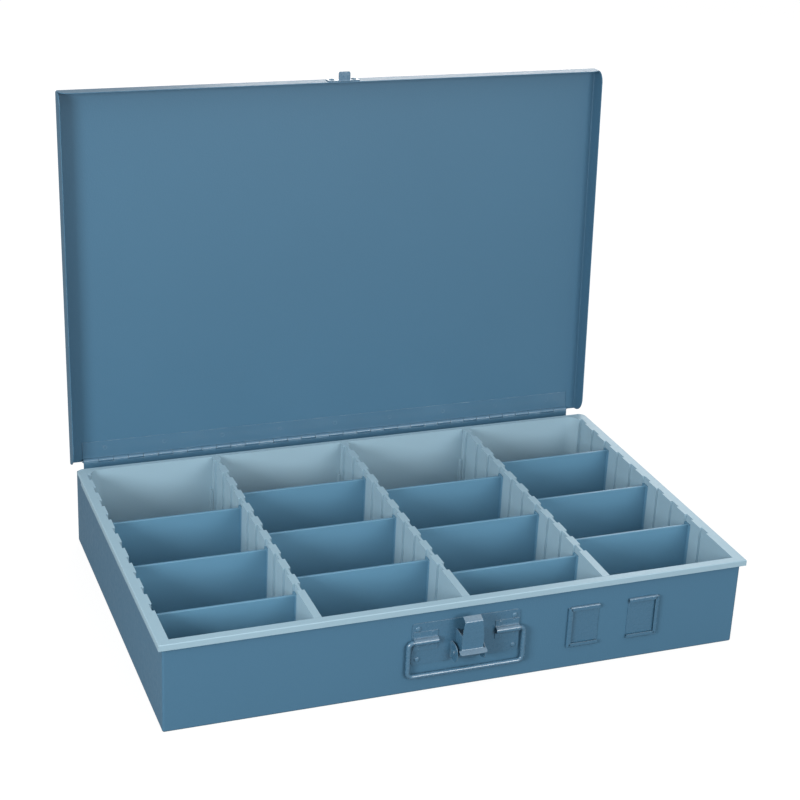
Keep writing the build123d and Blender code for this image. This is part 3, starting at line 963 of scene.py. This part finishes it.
@dataclass
class Lid:
    """Folded lid pan with its keeper."""

    rack: FinishRack
    sizes: BoxSizes
    length: float = 466.2
    rear_margin: float = 1.0
    outer: float = -3.1
    flange: float = 16.0
    bend: float = 1.7
    corner: float = 2.0
    corner_steps: int = 12
    front_round: float = 10.0
    rear_round: float = 14.0
    round_steps: int = 9
    side_marks: tuple[float, ...] = (60.0, 110.0, 160.0, 210.0, 260.0)
    front_marks: tuple[float, ...] = (-180.0, -120.0, -60.0)
    wall_marks: tuple[float, ...] = (0.3, 0.65, 1.0)
    lip_in: float = 0.12
    lip_drop: float = 0.08
    lip_room: float = 0.3
    keeper_width: float = 27.0
    keeper_height: float = 10.0
    keeper_edge: float = 1.9
    keeper_corner: float = 1.8
    tongue_width: float = 10.0
    tongue_reach: float = 8.04
    tongue_foot: float = 3.0
    tongue_bend: float = 0.5
    tongue_cuts: tuple[Flat, ...] = ((1.6, 0.0), (0.6, 0.35), (0.0, 1.2))

    def drop(self, distance: float, radius: float) -> float:
        """Depth of a flange at a distance from its rounded end."""
        short = max(radius - distance, 0.0)
        return self.flange - radius + math.sqrt(max(radius * radius - short * short, 0.0))

    def stations(self) -> list[tuple[float, float, float, float, float]]:
        """Mark out the lid's edge from the left rear round the front to the right rear.

        Returns:
            Place, outward direction and flange depth at each station.
        """
        half, front, corner = self.length / 2, self.sizes.lid_front, self.corner
        steps = self.round_steps
        shares = [1 - math.cos(math.radians(90.0 * k / steps)) for k in range(steps + 1)]
        rear = [self.rear_round * share for share in shares]
        near = [self.front_round * share for share in shares if self.front_round * share > corner]
        side = [(along - self.rear_margin, self.drop(along, self.rear_round)) for along in rear]
        side += [(v, self.flange) for v in self.side_marks]
        side += [(front - along, self.drop(along, self.front_round)) for along in reversed(near)]
        left = [(-half, v, -1.0, 0.0, depth) for v, depth in side]
        middle = self.corner_steps / 2
        for k in range(self.corner_steps + 1):
            a = math.radians(180.0 - 90.0 * k / self.corner_steps)
            nx, nv = math.cos(a), math.sin(a)
            depth = self.drop(corner * abs(k - middle) / middle, self.front_round)
            left.append((-half + corner + corner * nx, front - corner + corner * nv, nx, nv, depth))
        left += [(-half + along, front, 0.0, 1.0, self.drop(along, self.front_round)) for along in near]
        left += [(x, front, 0.0, 1.0, self.flange) for x in self.front_marks]
        right = [(-x, v, -nx, nv, depth) for x, v, nx, nv, depth in reversed(left)]
        return left + [(0.0, front, 0.0, 1.0, self.flange)] + right

    def section(self, depth: float) -> list[Flat]:
        """Section of the lid's edge at one station.

        Args:
            depth: depth of the flange there.

        Returns:
            Distance in from the flange's outer face and depth from the panel's outer face.
        """
        sheet, bend = self.sizes.sheet, self.bend
        outside, inside = fold(bend, sheet)
        straight = depth - bend - self.lip_room
        down = [(0.0, bend + straight * share) for share in self.wall_marks]
        back = [(sheet, bend + straight * share) for share in reversed(self.wall_marks)]
        shoulder = depth - self.lip_drop
        lip = [(self.lip_in, shoulder), (sheet / 2, depth), (sheet - self.lip_in, shoulder)]
        return outside + down + lip + back + inside

    def build_pan(self) -> None:
        """Fold the lid pan."""
        plane = self.sizes.lid()
        rows = []
        for x, v, nx, nv, depth in self.stations():
            section = self.section(depth)
            rows.append([plane.at(x - nx * inset, v - nv * inset, self.outer + d) for inset, d in section])
        forge = Forge("folded_lid")
        forge.pan(rows, wrap=False)
        forge.finish(self.rack, Slot.CASE, "lid", "lid_pan")

    def build_keeper(self) -> None:
        """Rivet the keeper and its tongue to the front flange."""
        plane, sheet = self.sizes.lid_face(), self.sizes.sheet
        low = -(self.outer + self.flange - self.keeper_edge)
        high = low + self.keeper_height
        half = self.keeper_width / 2
        corners = [(-half, low), (half, low), (half, high), (-half, high)]
        forge = Forge("keeper_plate")
        forge.slab(plane, rounded(corners, self.keeper_corner, closed=True), 0.0, sheet, edge=0.14)
        middle = low + sheet / 2
        tip = (self.tongue_reach, middle)
        half = self.tongue_width / 2
        path = rounded([(sheet / 2, middle + self.tongue_foot), (sheet / 2, middle), tip], self.tongue_bend)
        stations = [(x, y, half) for x, y in path[:-1]] + taper(tip, 0.0, half, self.tongue_cuts)
        forge.strip(WorkPlane(plane.origin, plane.out, plane.up), stations, sheet, edge=0.12)
        forge.finish(self.rack, Slot.FITTING, "lid", "lid_keeper")

    def build(self) -> None:
        """Build the lid pan and its keeper."""
        self.build_pan()
        self.build_keeper()


@dataclass
class Case:
    """Folded steel case with a hem along its top edge."""

    rack: FinishRack
    sizes: BoxSizes
    bend: float = 1.6
    corner: float = 1.6
    corner_steps: int = 6
    hem: float = 6.0
    hem_chamfer: float = 0.25
    hem_rise: float = 0.3
    hem_slant: float = 0.05
    wall_marks: tuple[float, ...] = (18.0, 44.0)
    long_marks: tuple[float, ...] = (-150.0, -50.0, 50.0, 150.0)
    side_marks: tuple[float, ...] = (-80.0, 20.0)

    def top(self, y: float) -> float:
        """Height of the wall, which falls in a slope near the rear.

        Args:
            y: place along Y.

        Returns:
            The height there.
        """
        sizes = self.sizes
        share = min(max((y - sizes.rear + sizes.slope_start) / sizes.slope_run, 0.0), 1.0)
        return sizes.wall_height + (sizes.rear_wall_height - sizes.wall_height) * share

    def section(self, top: float) -> list[Flat]:
        """Section of the case's edge at one station.

        Args:
            top: height of the wall there.

        Returns:
            Distance in from the wall's outer face and height.
        """
        sheet = self.sizes.sheet
        outside, inside = fold(self.bend, sheet)
        up = [(0.0, mark) for mark in self.wall_marks]
        down = [(sheet, mark) for mark in reversed(self.wall_marks)]
        roll = arc((sheet, top - sheet), sheet, 180.0, 0.0, 6)
        foot = top - self.hem
        end = [(2 * sheet, foot + self.hem_rise), (2 * sheet - self.hem_chamfer, foot)]
        return outside + up + roll + end + [(sheet, foot - self.hem_slant)] + down + inside

    def stations(self) -> list[tuple[float, float, float, float]]:
        """Mark out the case's edge all the way round.

        Returns:
            Place and outward direction at each station.
        """
        half, rear, corner = self.sizes.length / 2, self.sizes.rear, self.corner
        slope = rear - self.sizes.slope_start
        marks = (*self.side_marks, slope, slope + self.sizes.slope_run)
        runs = (
            [(x, -rear, 0.0, -1.0) for x in self.long_marks],
            [(half, y, 1.0, 0.0) for y in marks],
            [(x, rear, 0.0, 1.0) for x in reversed(self.long_marks)],
            [(-half, y, -1.0, 0.0) for y in reversed(marks)],
        )
        spots: list[tuple[float, float, float, float]] = []
        for number, (sx, sy) in enumerate(((1, -1), (1, 1), (-1, 1), (-1, -1))):
            spots += runs[number]
            for k in range(self.corner_steps + 1):
                a = math.radians(90.0 * (number - 1 + k / self.corner_steps))
                nx, ny = math.cos(a), math.sin(a)
                x, y = sx * (half - corner) + corner * nx, sy * (rear - corner) + corner * ny
                spots.append((x, y, nx, ny))
        return spots

    def build(self) -> None:
        """Fold the case."""
        plane = WorkPlane(Vector((0.0, 0.0, 0.0)), Vector((1, 0, 0)), Vector((0, 1, 0)))
        rows = []
        for x, y, nx, ny in self.stations():
            section = self.section(self.top(y))
            rows.append([plane.at(x - nx * inset, y - ny * inset, z) for inset, z in section])
        forge = Forge("folded_case")
        forge.pan(rows, wrap=True)
        forge.finish(self.rack, Slot.CASE, "base", "base_tray")


@dataclass
class Hinge:
    """Continuous hinge with rolled knuckles."""

    rack: FinishRack
    sizes: BoxSizes
    length: float = 444.8
    count: int = 35
    gap: float = 0.3
    width: float = 16.0
    roll: float = 1.7
    roll_steps: int = 22
    notch: float = 1.12
    root: float = 0.8
    edge: float = 0.08
    pin: float = 0.95
    pin_end: float = 0.6
    weld_line: float = 10.0
    neck: tuple[Flat, ...] = ((1.9, 0.0), (1.1, 0.06), (0.5, 0.2))

    def knuckles(self, first: int) -> list[float]:
        """Middles of every second knuckle, from the first or the second."""
        pitch = self.length / self.count
        return [(n - (self.count - 1) / 2) * pitch for n in range(first, self.count, 2)]

    def comb(self, first: int, sign: float) -> list[Flat]:
        """Outline of a leaf with a notch at each knuckle of the other leaf.

        Args:
            first: which knuckles are its own.
            sign: 1 when the plain edge lies up from the pin, -1 when it lies down.

        Returns:
            The closed outline.
        """
        half_cut = (self.length / self.count + self.gap) / 2
        end = self.length / 2
        edge: list[Flat] = [(-end, sign * self.width), (end, sign * self.width)]
        root, notch = sign * self.root, sign * self.notch
        teeth: list[Flat] = []
        for x in reversed(self.knuckles(1 - first)):
            right, left = min(x + half_cut, end), max(x - half_cut, -end)
            teeth += [(right, root), (right, notch), (left, notch), (left, root)]
        if first == 0:
            return edge + [(end, root)] + teeth + [(-end, root)]
        return edge + teeth[1:-1]

    def roll_knuckles(self, forge: Forge, run: list[Flat], first: int, section: WorkPlane) -> None:
        """Add a row of rolled knuckles.

        Args:
            forge: the leaf's forge.
            run: middle line of the sheet from the leaf round the pin.
            first: which knuckles are the leaf's own.
            section: section plane at the middle of the hinge.
        """
        half = (self.length / self.count - self.gap) / 2
        outline = ribbon(run, self.sizes.leaf)
        for x in self.knuckles(first):
            forge.slab(section, outline, x - half, x + half, edge=0.07)

    def build_base_leaf(self) -> None:
        """Roll the leaf on the rear wall."""
        leaf, back = self.sizes.leaf, self.sizes.back()
        plane = WorkPlane(back.at(0.0, self.sizes.hinge_height), back.right, back.up)
        forge = Forge("hinge_leaf_on_case")
        forge.slab(plane, self.comb(0, -1.0), 0.0, leaf, self.edge)
        seat = -self.sizes.hinge_out + leaf / 2
        turn = arc((0.0, 0.0), self.roll, 180.0, -140.0, self.roll_steps)
        run = [(seat + rise, -along) for along, rise in self.neck] + turn
        self.roll_knuckles(forge, run, 0, self.sizes.hinge_section())
        forge.finish(self.rack, Slot.HINGE, "base", "hinge_leaf_base")

    def build_lid_leaf(self) -> None:
        """Roll the leaf on the lid and mark its spot welds."""
        leaf, lid = self.sizes.leaf, self.sizes.lid()
        forge = Forge("hinge_leaf_on_lid")
        low = -self.sizes.hinge_out
        forge.slab(lid, self.comb(1, 1.0), low, low + leaf, self.edge)
        seat = low + leaf / 2
        turn = arc((0.0, 0.0), self.roll, -90.0, -400.0, self.roll_steps)
        run = [(along, seat + rise) for along, rise in self.neck] + turn
        self.roll_knuckles(forge, run, 1, self.sizes.lid_section())
        for x in self.knuckles(1)[::2]:
            spot = weld(low + leaf, radius=1.7, eye=0.6, dish=0.06)
            forge.turned(lid, (x, self.weld_line), spot, sides=20)
        forge.finish(self.rack, Slot.HINGE, "lid", "hinge_leaf_lid")

    def build_pin(self) -> None:
        """Draw the hinge pin."""
        section = self.sizes.hinge_section()
        end = self.length / 2 + self.pin_end
        forge = Forge("hinge_wire")
        forge.wire([section.at(0.0, 0.0, x) for x in (-end, -end / 2, 0.0, end / 2, end)], self.pin)
        forge.finish(self.rack, Slot.BRIGHT, "base", "hinge_pin")

    def build(self) -> None:
        """Build both leaves and the pin."""
        self.build_base_leaf()
        self.build_lid_leaf()
        self.build_pin()


@dataclass
class Rivets:
    """Rows of rivets with domed heads."""

    rack: FinishRack
    sizes: BoxSizes
    shank: float = 1.2
    head: float = 2.1
    height: float = 1.0
    rim: float = 0.25
    dome_turn: float = 0.35
    tail: float = 1.9
    tail_height: float = 0.5
    tail_edge: float = 0.3
    tail_chamfer: float = 0.25
    plate_middle: float = 41.3
    plate_reach: Flat = (38.4, 12.7)
    leaf_pitch: float = 55.6
    leaf_count: int = 8
    leaf_height: float = 62.0
    keeper_spots: tuple[Flat, ...] = ((-9.5, -6.0), (9.5, -6.0))

    def profile(self, grip: float) -> list[Flat]:
        """Mark out a rivet's side from its tail to its crown.

        Args:
            grip: thickness of what it holds.

        Returns:
            Radius and height over the plate.
        """
        foot, edge = -grip - self.tail_height, -grip - self.tail_edge
        tail = [(POLE, foot), (self.tail - self.tail_chamfer, foot), (self.tail, edge), (self.tail, -grip)]
        shank = [(self.shank, -grip), (self.shank, 0.0), (self.head, 0.0)]
        rise = self.height - self.rim
        turns = [self.dome_turn * k for k in range(5)]
        dome = [(self.head * math.cos(turn), self.rim + rise * math.sin(turn)) for turn in turns]
        return tail + shank + dome + [(POLE, self.height)]

    def row(self, plane: WorkPlane, spots: list[Flat], plate: float, layers: int, *names: str) -> None:
        """Set one row of rivets.

        Args:
            plane: outer face of what the plate is riveted to.
            spots: places of the rivets.
            plate: thickness of the plate.
            layers: number of sheets of the case or lid below the plate.
            names: name of the piece, the body that it rides on and the node that it stands for.
        """
        piece, body, node = names
        forge = Forge(piece)
        profile = self.profile(plate + layers * self.sizes.sheet)
        for spot in spots:
            forge.turned(plane.lifted(plate), spot, profile, sides=24)
        forge.finish(self.rack, Slot.RIVET, body, node)

    def build(self) -> None:
        """Set the rivets of the catch plate, the hinge and the keeper."""
        sizes = self.sizes
        wall, back, face = sizes.wall(), sizes.back(), sizes.lid_face()
        reach_x, reach_z = self.plate_reach
        plate_spots = [(x * reach_x, self.plate_middle + z * reach_z) for x in (-1, 1) for z in (-1, 1)]
        first = -(self.leaf_count - 1) / 2
        leaf_spots = [((first + n) * self.leaf_pitch, self.leaf_height) for n in range(self.leaf_count)]
        self.row(wall, plate_spots, sizes.plate, 1, "catch_plate_rivets", "base", "plate_rivets")
        self.row(back, leaf_spots, sizes.leaf, 2, "hinge_leaf_rivets", "base", "hinge_rivets")
        self.row(face, self.keeper_spots, sizes.plate, 1, "keeper_plate_rivets", "lid", "keeper_rivets")


@dataclass
class Catch:
    """Catch plate, its pin and spring, and the latch lever."""

    rack: FinishRack
    sizes: BoxSizes
    plate_length: float = 86.0
    plate_low: float = 24.0
    plate_high: float = 58.6
    plate_corner: float = 2.5
    pivot_out: float = 6.0
    pivot_height: float = 33.0
    ear_radius: float = 7.0
    ear_x: float = 11.4
    bead: float = 0.9
    bead_hollow: Flat = (0.3, 0.25)
    bead_marks: tuple[float, ...] = (0.4, 2.0, 13.6)
    lever_width: float = 17.0
    lever_top_width: float = 14.0
    lever_out: float = 14.0
    lever_low: float = 38.0
    lever_bend: float = 1.3
    lever_shoulder: float = 50.0
    shoulder_marks: tuple[Flat, ...] = ((5.7, 0.5), (0.6, 0.92), (-0.6, 1.0))
    hook_low: float = 61.4
    hook_neck: float = 1.5
    hook_back: float = 5.5
    hook_rise: float = 1.75
    finger_width: float = 21.5
    finger_reach: float = 4.2
    finger_drop: float = 2.0
    finger_cuts: tuple[Flat, ...] = ((1.4, 0.0), (0.4, 0.45), (0.0, 1.5))
    cheek_back: float = 4.0
    cheek_ease: float = 0.4
    cheek_cuts: Flat = (0.6, 0.5)
    hub: float = 4.6
    pin: float = 1.25
    pin_gap: float = 0.06
    pin_head: tuple[Flat, ...] = ((2.1, 0.0), (2.1, 0.4), (1.8, 0.8), (1.1, 0.98), (POLE, 1.0))
    spring_radius: float = 1.95
    spring_wire: float = 0.35
    spring_pitch: float = 1.6
    spring_turns: float = 5.389
    spring_lean: float = 20.0
    lever_leg: float = 13.4
    plate_leg: float = 7.6

    def build_plate(self) -> None:
        """Cut the catch plate and bend out its two ears."""
        plate, radius, height = self.sizes.plate, self.ear_radius, self.pivot_height
        half, low, high = self.plate_length / 2, self.plate_low, self.plate_high
        corners = [(-half, low), (half, low), (half, high), (-half, high)]
        forge = Forge("catch_backing")
        outline = rounded(corners, self.plate_corner, steps=6, closed=True)
        forge.slab(self.sizes.wall(), outline, 0.0, plate, edge=0.2)
        cup = arc((self.pivot_out, height), radius, 90.0, -90.0, 20)
        outline = cup + [(plate / 2, height - radius), (plate / 2, height + radius)]
        hole = arc((self.pivot_out, height), self.pin, 0.0, 345.0, 23)
        for side in (-1, 1):
            out = -side * (self.ear_x - plate / 2)
            section = self.sizes.wall_section()
            forge.slab(section, outline, out - plate / 2, out + plate / 2, edge=0.12, holes=(hole,))
            self.root_bead(forge, side)
        forge.finish(self.rack, Slot.FITTING, "base", "catch_plate")

    def root_bead(self, forge: Forge, side: int) -> None:
        """Round the bend where an ear leaves the plate.

        Args:
            forge: the plate's forge.
            side: -1 for the left ear, 1 for the right one.
        """
        wall, plate, bead = self.sizes.wall(), self.sizes.plate, self.bead
        x = side * self.ear_x
        across, deep = self.bead_hollow
        fillet = [(x, plate), (x + side * bead, plate), (x + side * across, plate + deep), (x, plate + bead)]
        bottom = self.pivot_height - self.ear_radius
        forge.loft([[wall.at(px, bottom + mark, out) for px, out in fillet] for mark in self.bead_marks])

    def build_pin(self) -> None:
        """Head the latch pin at both ends."""
        end = self.ear_x
        left = [(radius, -end - height) for radius, height in reversed(self.pin_head)]
        right = [(radius, end + height) for radius, height in self.pin_head]
        profile = left + [(self.pin, -end), (self.pin, end)] + right
        forge = Forge("latch_pivot_pin")
        forge.turned(self.sizes.wall_section(), (self.pivot_out, self.pivot_height), profile, sides=24)
        forge.finish(self.rack, Slot.BRIGHT, "base", "latch_pin")

    def lever_stations(self) -> list[Station]:
        """Mark out the lever's sheet from the hook over the front to the finger lip.

        Returns:
            Distance in front of the wall, height and half width at each station.
        """
        sheet = self.sizes.sheet
        middle = self.lever_out - sheet / 2
        finger = self.lever_out + self.finger_reach - sheet / 4
        corners = [
            (self.lever_out - self.hook_back, self.hook_low + self.hook_rise + sheet / 2),
            (middle, self.hook_low + sheet / 2),
            (middle, self.lever_low + sheet / 2),
            (finger, self.lever_low - self.finger_drop + sheet / 2),
        ]
        top, broad, tab = self.lever_top_width / 2, self.lever_width / 2, self.finger_width / 2
        path = rounded(corners, self.lever_bend, steps=5)
        stations: list[Station] = []
        for x, y in path[:-1]:
            half = tab if x > self.lever_out else broad
            if y > self.hook_low - self.hook_neck:
                half = top
            elif stations[-1][2] == top:
                for rise, share in self.shoulder_marks:
                    stations.append((middle, self.lever_shoulder + rise, top + (broad - top) * share))
            stations.append((x, y, half))
        return stations + taper(path[-1], self.finger_drop / (finger - middle), tab, self.finger_cuts)

    def build_lever(self) -> None:
        """Fold the latch lever."""
        sheet, plate, section = self.sizes.sheet, self.sizes.plate, self.sizes.wall_section()
        shoulder, ease = self.lever_shoulder, self.cheek_ease
        forge = Forge("latch_lever_sheet")
        forge.strip(section, self.lever_stations(), sheet, edge=0.12)
        hub = (self.pivot_out, self.pivot_height)
        inner = self.lever_out - sheet
        front_cut, rear_cut = self.cheek_cuts
        outline = [(inner, self.lever_low + ease), (inner, shoulder - ease), (inner - front_cut, shoulder)]
        outline += [(plate + rear_cut, shoulder), (plate, shoulder - rear_cut)]
        outline += [(plate, shoulder - self.cheek_back)] + arc(hub, self.hub, 180.0, 292.0, 12)
        hole = arc(hub, self.pin + self.pin_gap, 0.0, 345.0, 23)
        for side in (-1, 1):
            out = side * (self.lever_width - sheet) / 2
            forge.slab(section, outline, out - sheet / 2, out + sheet / 2, edge=0.12, holes=(hole,))
        forge.finish(self.rack, Slot.FITTING, "latch_lever", "latch_lever")

    def build_spring(self) -> None:
        """Wind the torsion spring and lean its legs on the plate and the lever."""
        section = self.sizes.wall_section()
        half = self.spring_turns * self.spring_pitch / 2
        lean = math.radians(self.spring_lean)
        steps = int(self.spring_turns * 24)
        path: list[Vector] = []
        for k in range(steps + 1):
            turn = math.pi / 2 + lean + math.tau * self.spring_turns * k / steps
            out = self.pivot_out + self.spring_radius * math.sin(turn)
            up = self.pivot_height + self.spring_radius * math.cos(turn)
            path.append(section.at(out, up, half - 2 * half * k / steps))
        hub = section.at(0.0, 0.0)
        lever_way = section.at(math.sin(lean), math.cos(lean)) - hub
        plate_way = section.at(-math.sin(lean), math.cos(lean)) - hub
        path.insert(0, path[0] + lever_way * self.lever_leg)
        path.append(path[-1] + plate_way * self.plate_leg)
        forge = Forge("latch_torsion_spring")
        forge.wire(path, self.spring_wire, sides=10)
        forge.finish(self.rack, Slot.SPRING, "base", "latch_spring")

    def build(self) -> None:
        """Build the plate, the pin, the lever and the spring."""
        self.build_plate()
        self.build_pin()
        self.build_lever()
        self.build_spring()


@dataclass
class Bail:
    """Wire bail and the two straps that hold it."""

    rack: FinishRack
    sizes: BoxSizes
    half_width: float = 46.0
    drop: float = 28.6
    pivot_height: float = 44.0
    out: float = 2.7
    wire_radius: float = 1.8
    bend: float = 4.0
    tail: float = 21.0
    strap_mid: float = 32.5
    strap_width: float = 19.0
    strap: float = 0.7
    strap_bend: float = 0.45
    strap_gap: float = 0.1
    foot: float = 7.6
    weld_x: float = 5.5
    weld_z: float = 5.2

    def build_wire(self) -> None:
        """Bend the bail."""
        wall, half, high = self.sizes.wall(), self.half_width, self.pivot_height
        left = [(-half + self.tail, high), (-half, high), (-half, high - self.drop)]
        right = [(-x, z) for x, z in reversed(left)]
        path = [wall.at(x, z, self.out) for x, z in rounded(left + right, self.bend, steps=9)]
        forge = Forge("bail_wire")
        forge.wire(path, self.wire_radius, sides=20)
        forge.finish(self.rack, Slot.BRIGHT, "bail", "bail_handle")

    def build_strap(self, name: str, side: int) -> None:
        """Stamp one strap with its hump over the wire.

        Args:
            name: left or right.
            side: -1 for the left strap, 1 for the right one.
        """
        seat = self.sizes.plate + self.strap / 2
        hump = self.wire_radius + self.strap_gap + self.strap / 2
        middle = self.pivot_height
        crown = arc((self.out, middle), hump, -90.0, 90.0, 14)
        lower = rounded([(seat, middle - self.foot), (seat, middle - hump), crown[0]], self.strap_bend)
        upper = rounded([crown[-1], (seat, middle + hump), (seat, middle + self.foot)], self.strap_bend)
        outline = ribbon(lower[:-1] + crown + upper[1:], self.strap)
        half = self.strap_width / 2
        forge = Forge(f"bail_strap_{name}_sheet")
        forge.slab(self.sizes.wall_section(side * self.strap_mid), outline, -half, half, edge=0.12)
        spot = weld(self.sizes.plate + self.strap, radius=1.5, eye=0.5, dish=0.05)
        for x in (-self.weld_x, self.weld_x):
            for z in (-self.weld_z, self.weld_z):
                forge.turned(self.sizes.wall(), (side * self.strap_mid + x, middle + z), spot, sides=18)
        forge.finish(self.rack, Slot.FITTING, "base", f"bail_strap_{name}")

    def build(self) -> None:
        """Build the bail and both straps."""
        self.build_wire()
        self.build_strap("left", -1)
        self.build_strap("right", 1)


@dataclass
class CardHolder:
    """Two clips on the front wall that hold a card."""

    rack: FinishRack
    sizes: BoxSizes
    left: float = 83.0
    length: float = 76.0
    low: float = 19.0
    height: float = 34.0
    clip: float = 25.5
    sheet: float = 0.6
    slot: float = 1.2
    lip: float = 3.0
    lip_foot: float = 2.4
    back_inset: float = 1.2
    side_inset: float = 1.4
    end_inset: float = 0.5

    def build_clip(self, name: str, outer: float, inward: int) -> None:
        """Fold one clip: a back with a lip along its top, its bottom and its outer side.

        Args:
            name: left or right.
            outer: place of its outer side.
            inward: 1 when the card lies to the right of that side, -1 when to the left.
        """
        wall, low, high = self.sizes.wall(), self.low, self.low + self.height
        back = self.sheet / 2
        front = self.sheet + self.slot + self.sheet / 2
        turn = (front - back) / 2
        bend = arc((turn, (front + back) / 2), turn, 270.0, 90.0, 8)
        outline = ribbon([(turn + self.lip_foot, back)] + bend + [(self.lip, front)], self.sheet)
        start, end = sorted((outer + inward * self.side_inset, outer + inward * self.clip))
        bottom, top = low + self.back_inset, high - self.back_inset
        forge = Forge(f"card_clip_{name}_sheet")
        corners = [(start, bottom), (end, bottom), (end, top), (start, top)]
        forge.slab(wall, corners, 0.0, self.sheet, edge=0.06)
        runs = (
            (WorkPlane(wall.at(0.0, high), -wall.up, wall.out), -1, start, end),
            (WorkPlane(wall.at(0.0, low), wall.up, wall.out), 1, start, end),
            (
                WorkPlane(wall.at(outer, 0.0), wall.right * inward, wall.out),
                -inward,
                low + self.end_inset,
                high - self.end_inset,
            ),
        )
        for plane, sign, one_end, other_end in runs:
            forge.slab(plane, outline, *sorted((sign * one_end, sign * other_end)), edge=0.1)
        forge.finish(self.rack, Slot.FITTING, "base", f"card_clip_{name}")

    def build(self) -> None:
        """Build both clips."""
        self.build_clip("left", self.left, 1)
        self.build_clip("right", self.left + self.length, -1)


@dataclass
class Insert:
    """Plastic insert, its partitions and cross dividers, which keep their solids."""

    rack: FinishRack
    tray_edge: float = 0.35
    divider_edge: float = 0.3
    partitions: int = 3
    columns: int = 4

    def dress(self, node: str, slot: Slot, edge: float) -> None:
        """Finish one solid and round its edges.

        Args:
            node: name of the node.
            slot: finish that it takes.
            edge: width of the rounded edge in millimetres.
        """
        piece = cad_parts[node]
        self.rack.dress(piece, slot)
        soft = piece.modifiers.new("soft_edge", "BEVEL")
        soft.width = edge * MM
        soft.segments = 3
        soft.limit_method = "ANGLE"
        soft.angle_limit = math.radians(50.0)
        shade_evenly(piece)
        LOG.info("dressed %s", node)

    def build(self) -> None:
        """Finish the insert, the partitions and the dividers."""
        self.dress("insert_tray", Slot.INSERT, self.tray_edge)
        for number in range(1, self.partitions + 1):
            self.dress(f"long_partition_{number}", Slot.INSERT, self.tray_edge)
        for column in range(1, self.columns + 1):
            for letter in "abc":
                self.dress(f"cross_divider_{column}{letter}", Slot.DIVIDER, self.divider_edge)


def main() -> None:
    """Build the scene, class by class, and report each piece."""
    logging.basicConfig(level=logging.INFO, format="%(name)s: %(message)s")
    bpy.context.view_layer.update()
    rack = FinishRack()
    sizes = BoxSizes()
    CameraRig().build()
    Studio().build()
    for maker in (
        Case(rack, sizes),
        Insert(rack),
        Lid(rack, sizes),
        Hinge(rack, sizes),
        Catch(rack, sizes),
        Bail(rack, sizes),
        CardHolder(rack, sizes),
        Rivets(rack, sizes),
    ):
        maker.build()
        LOG.info("built %s", type(maker).__name__)


if __name__ == "__main__":
    main()
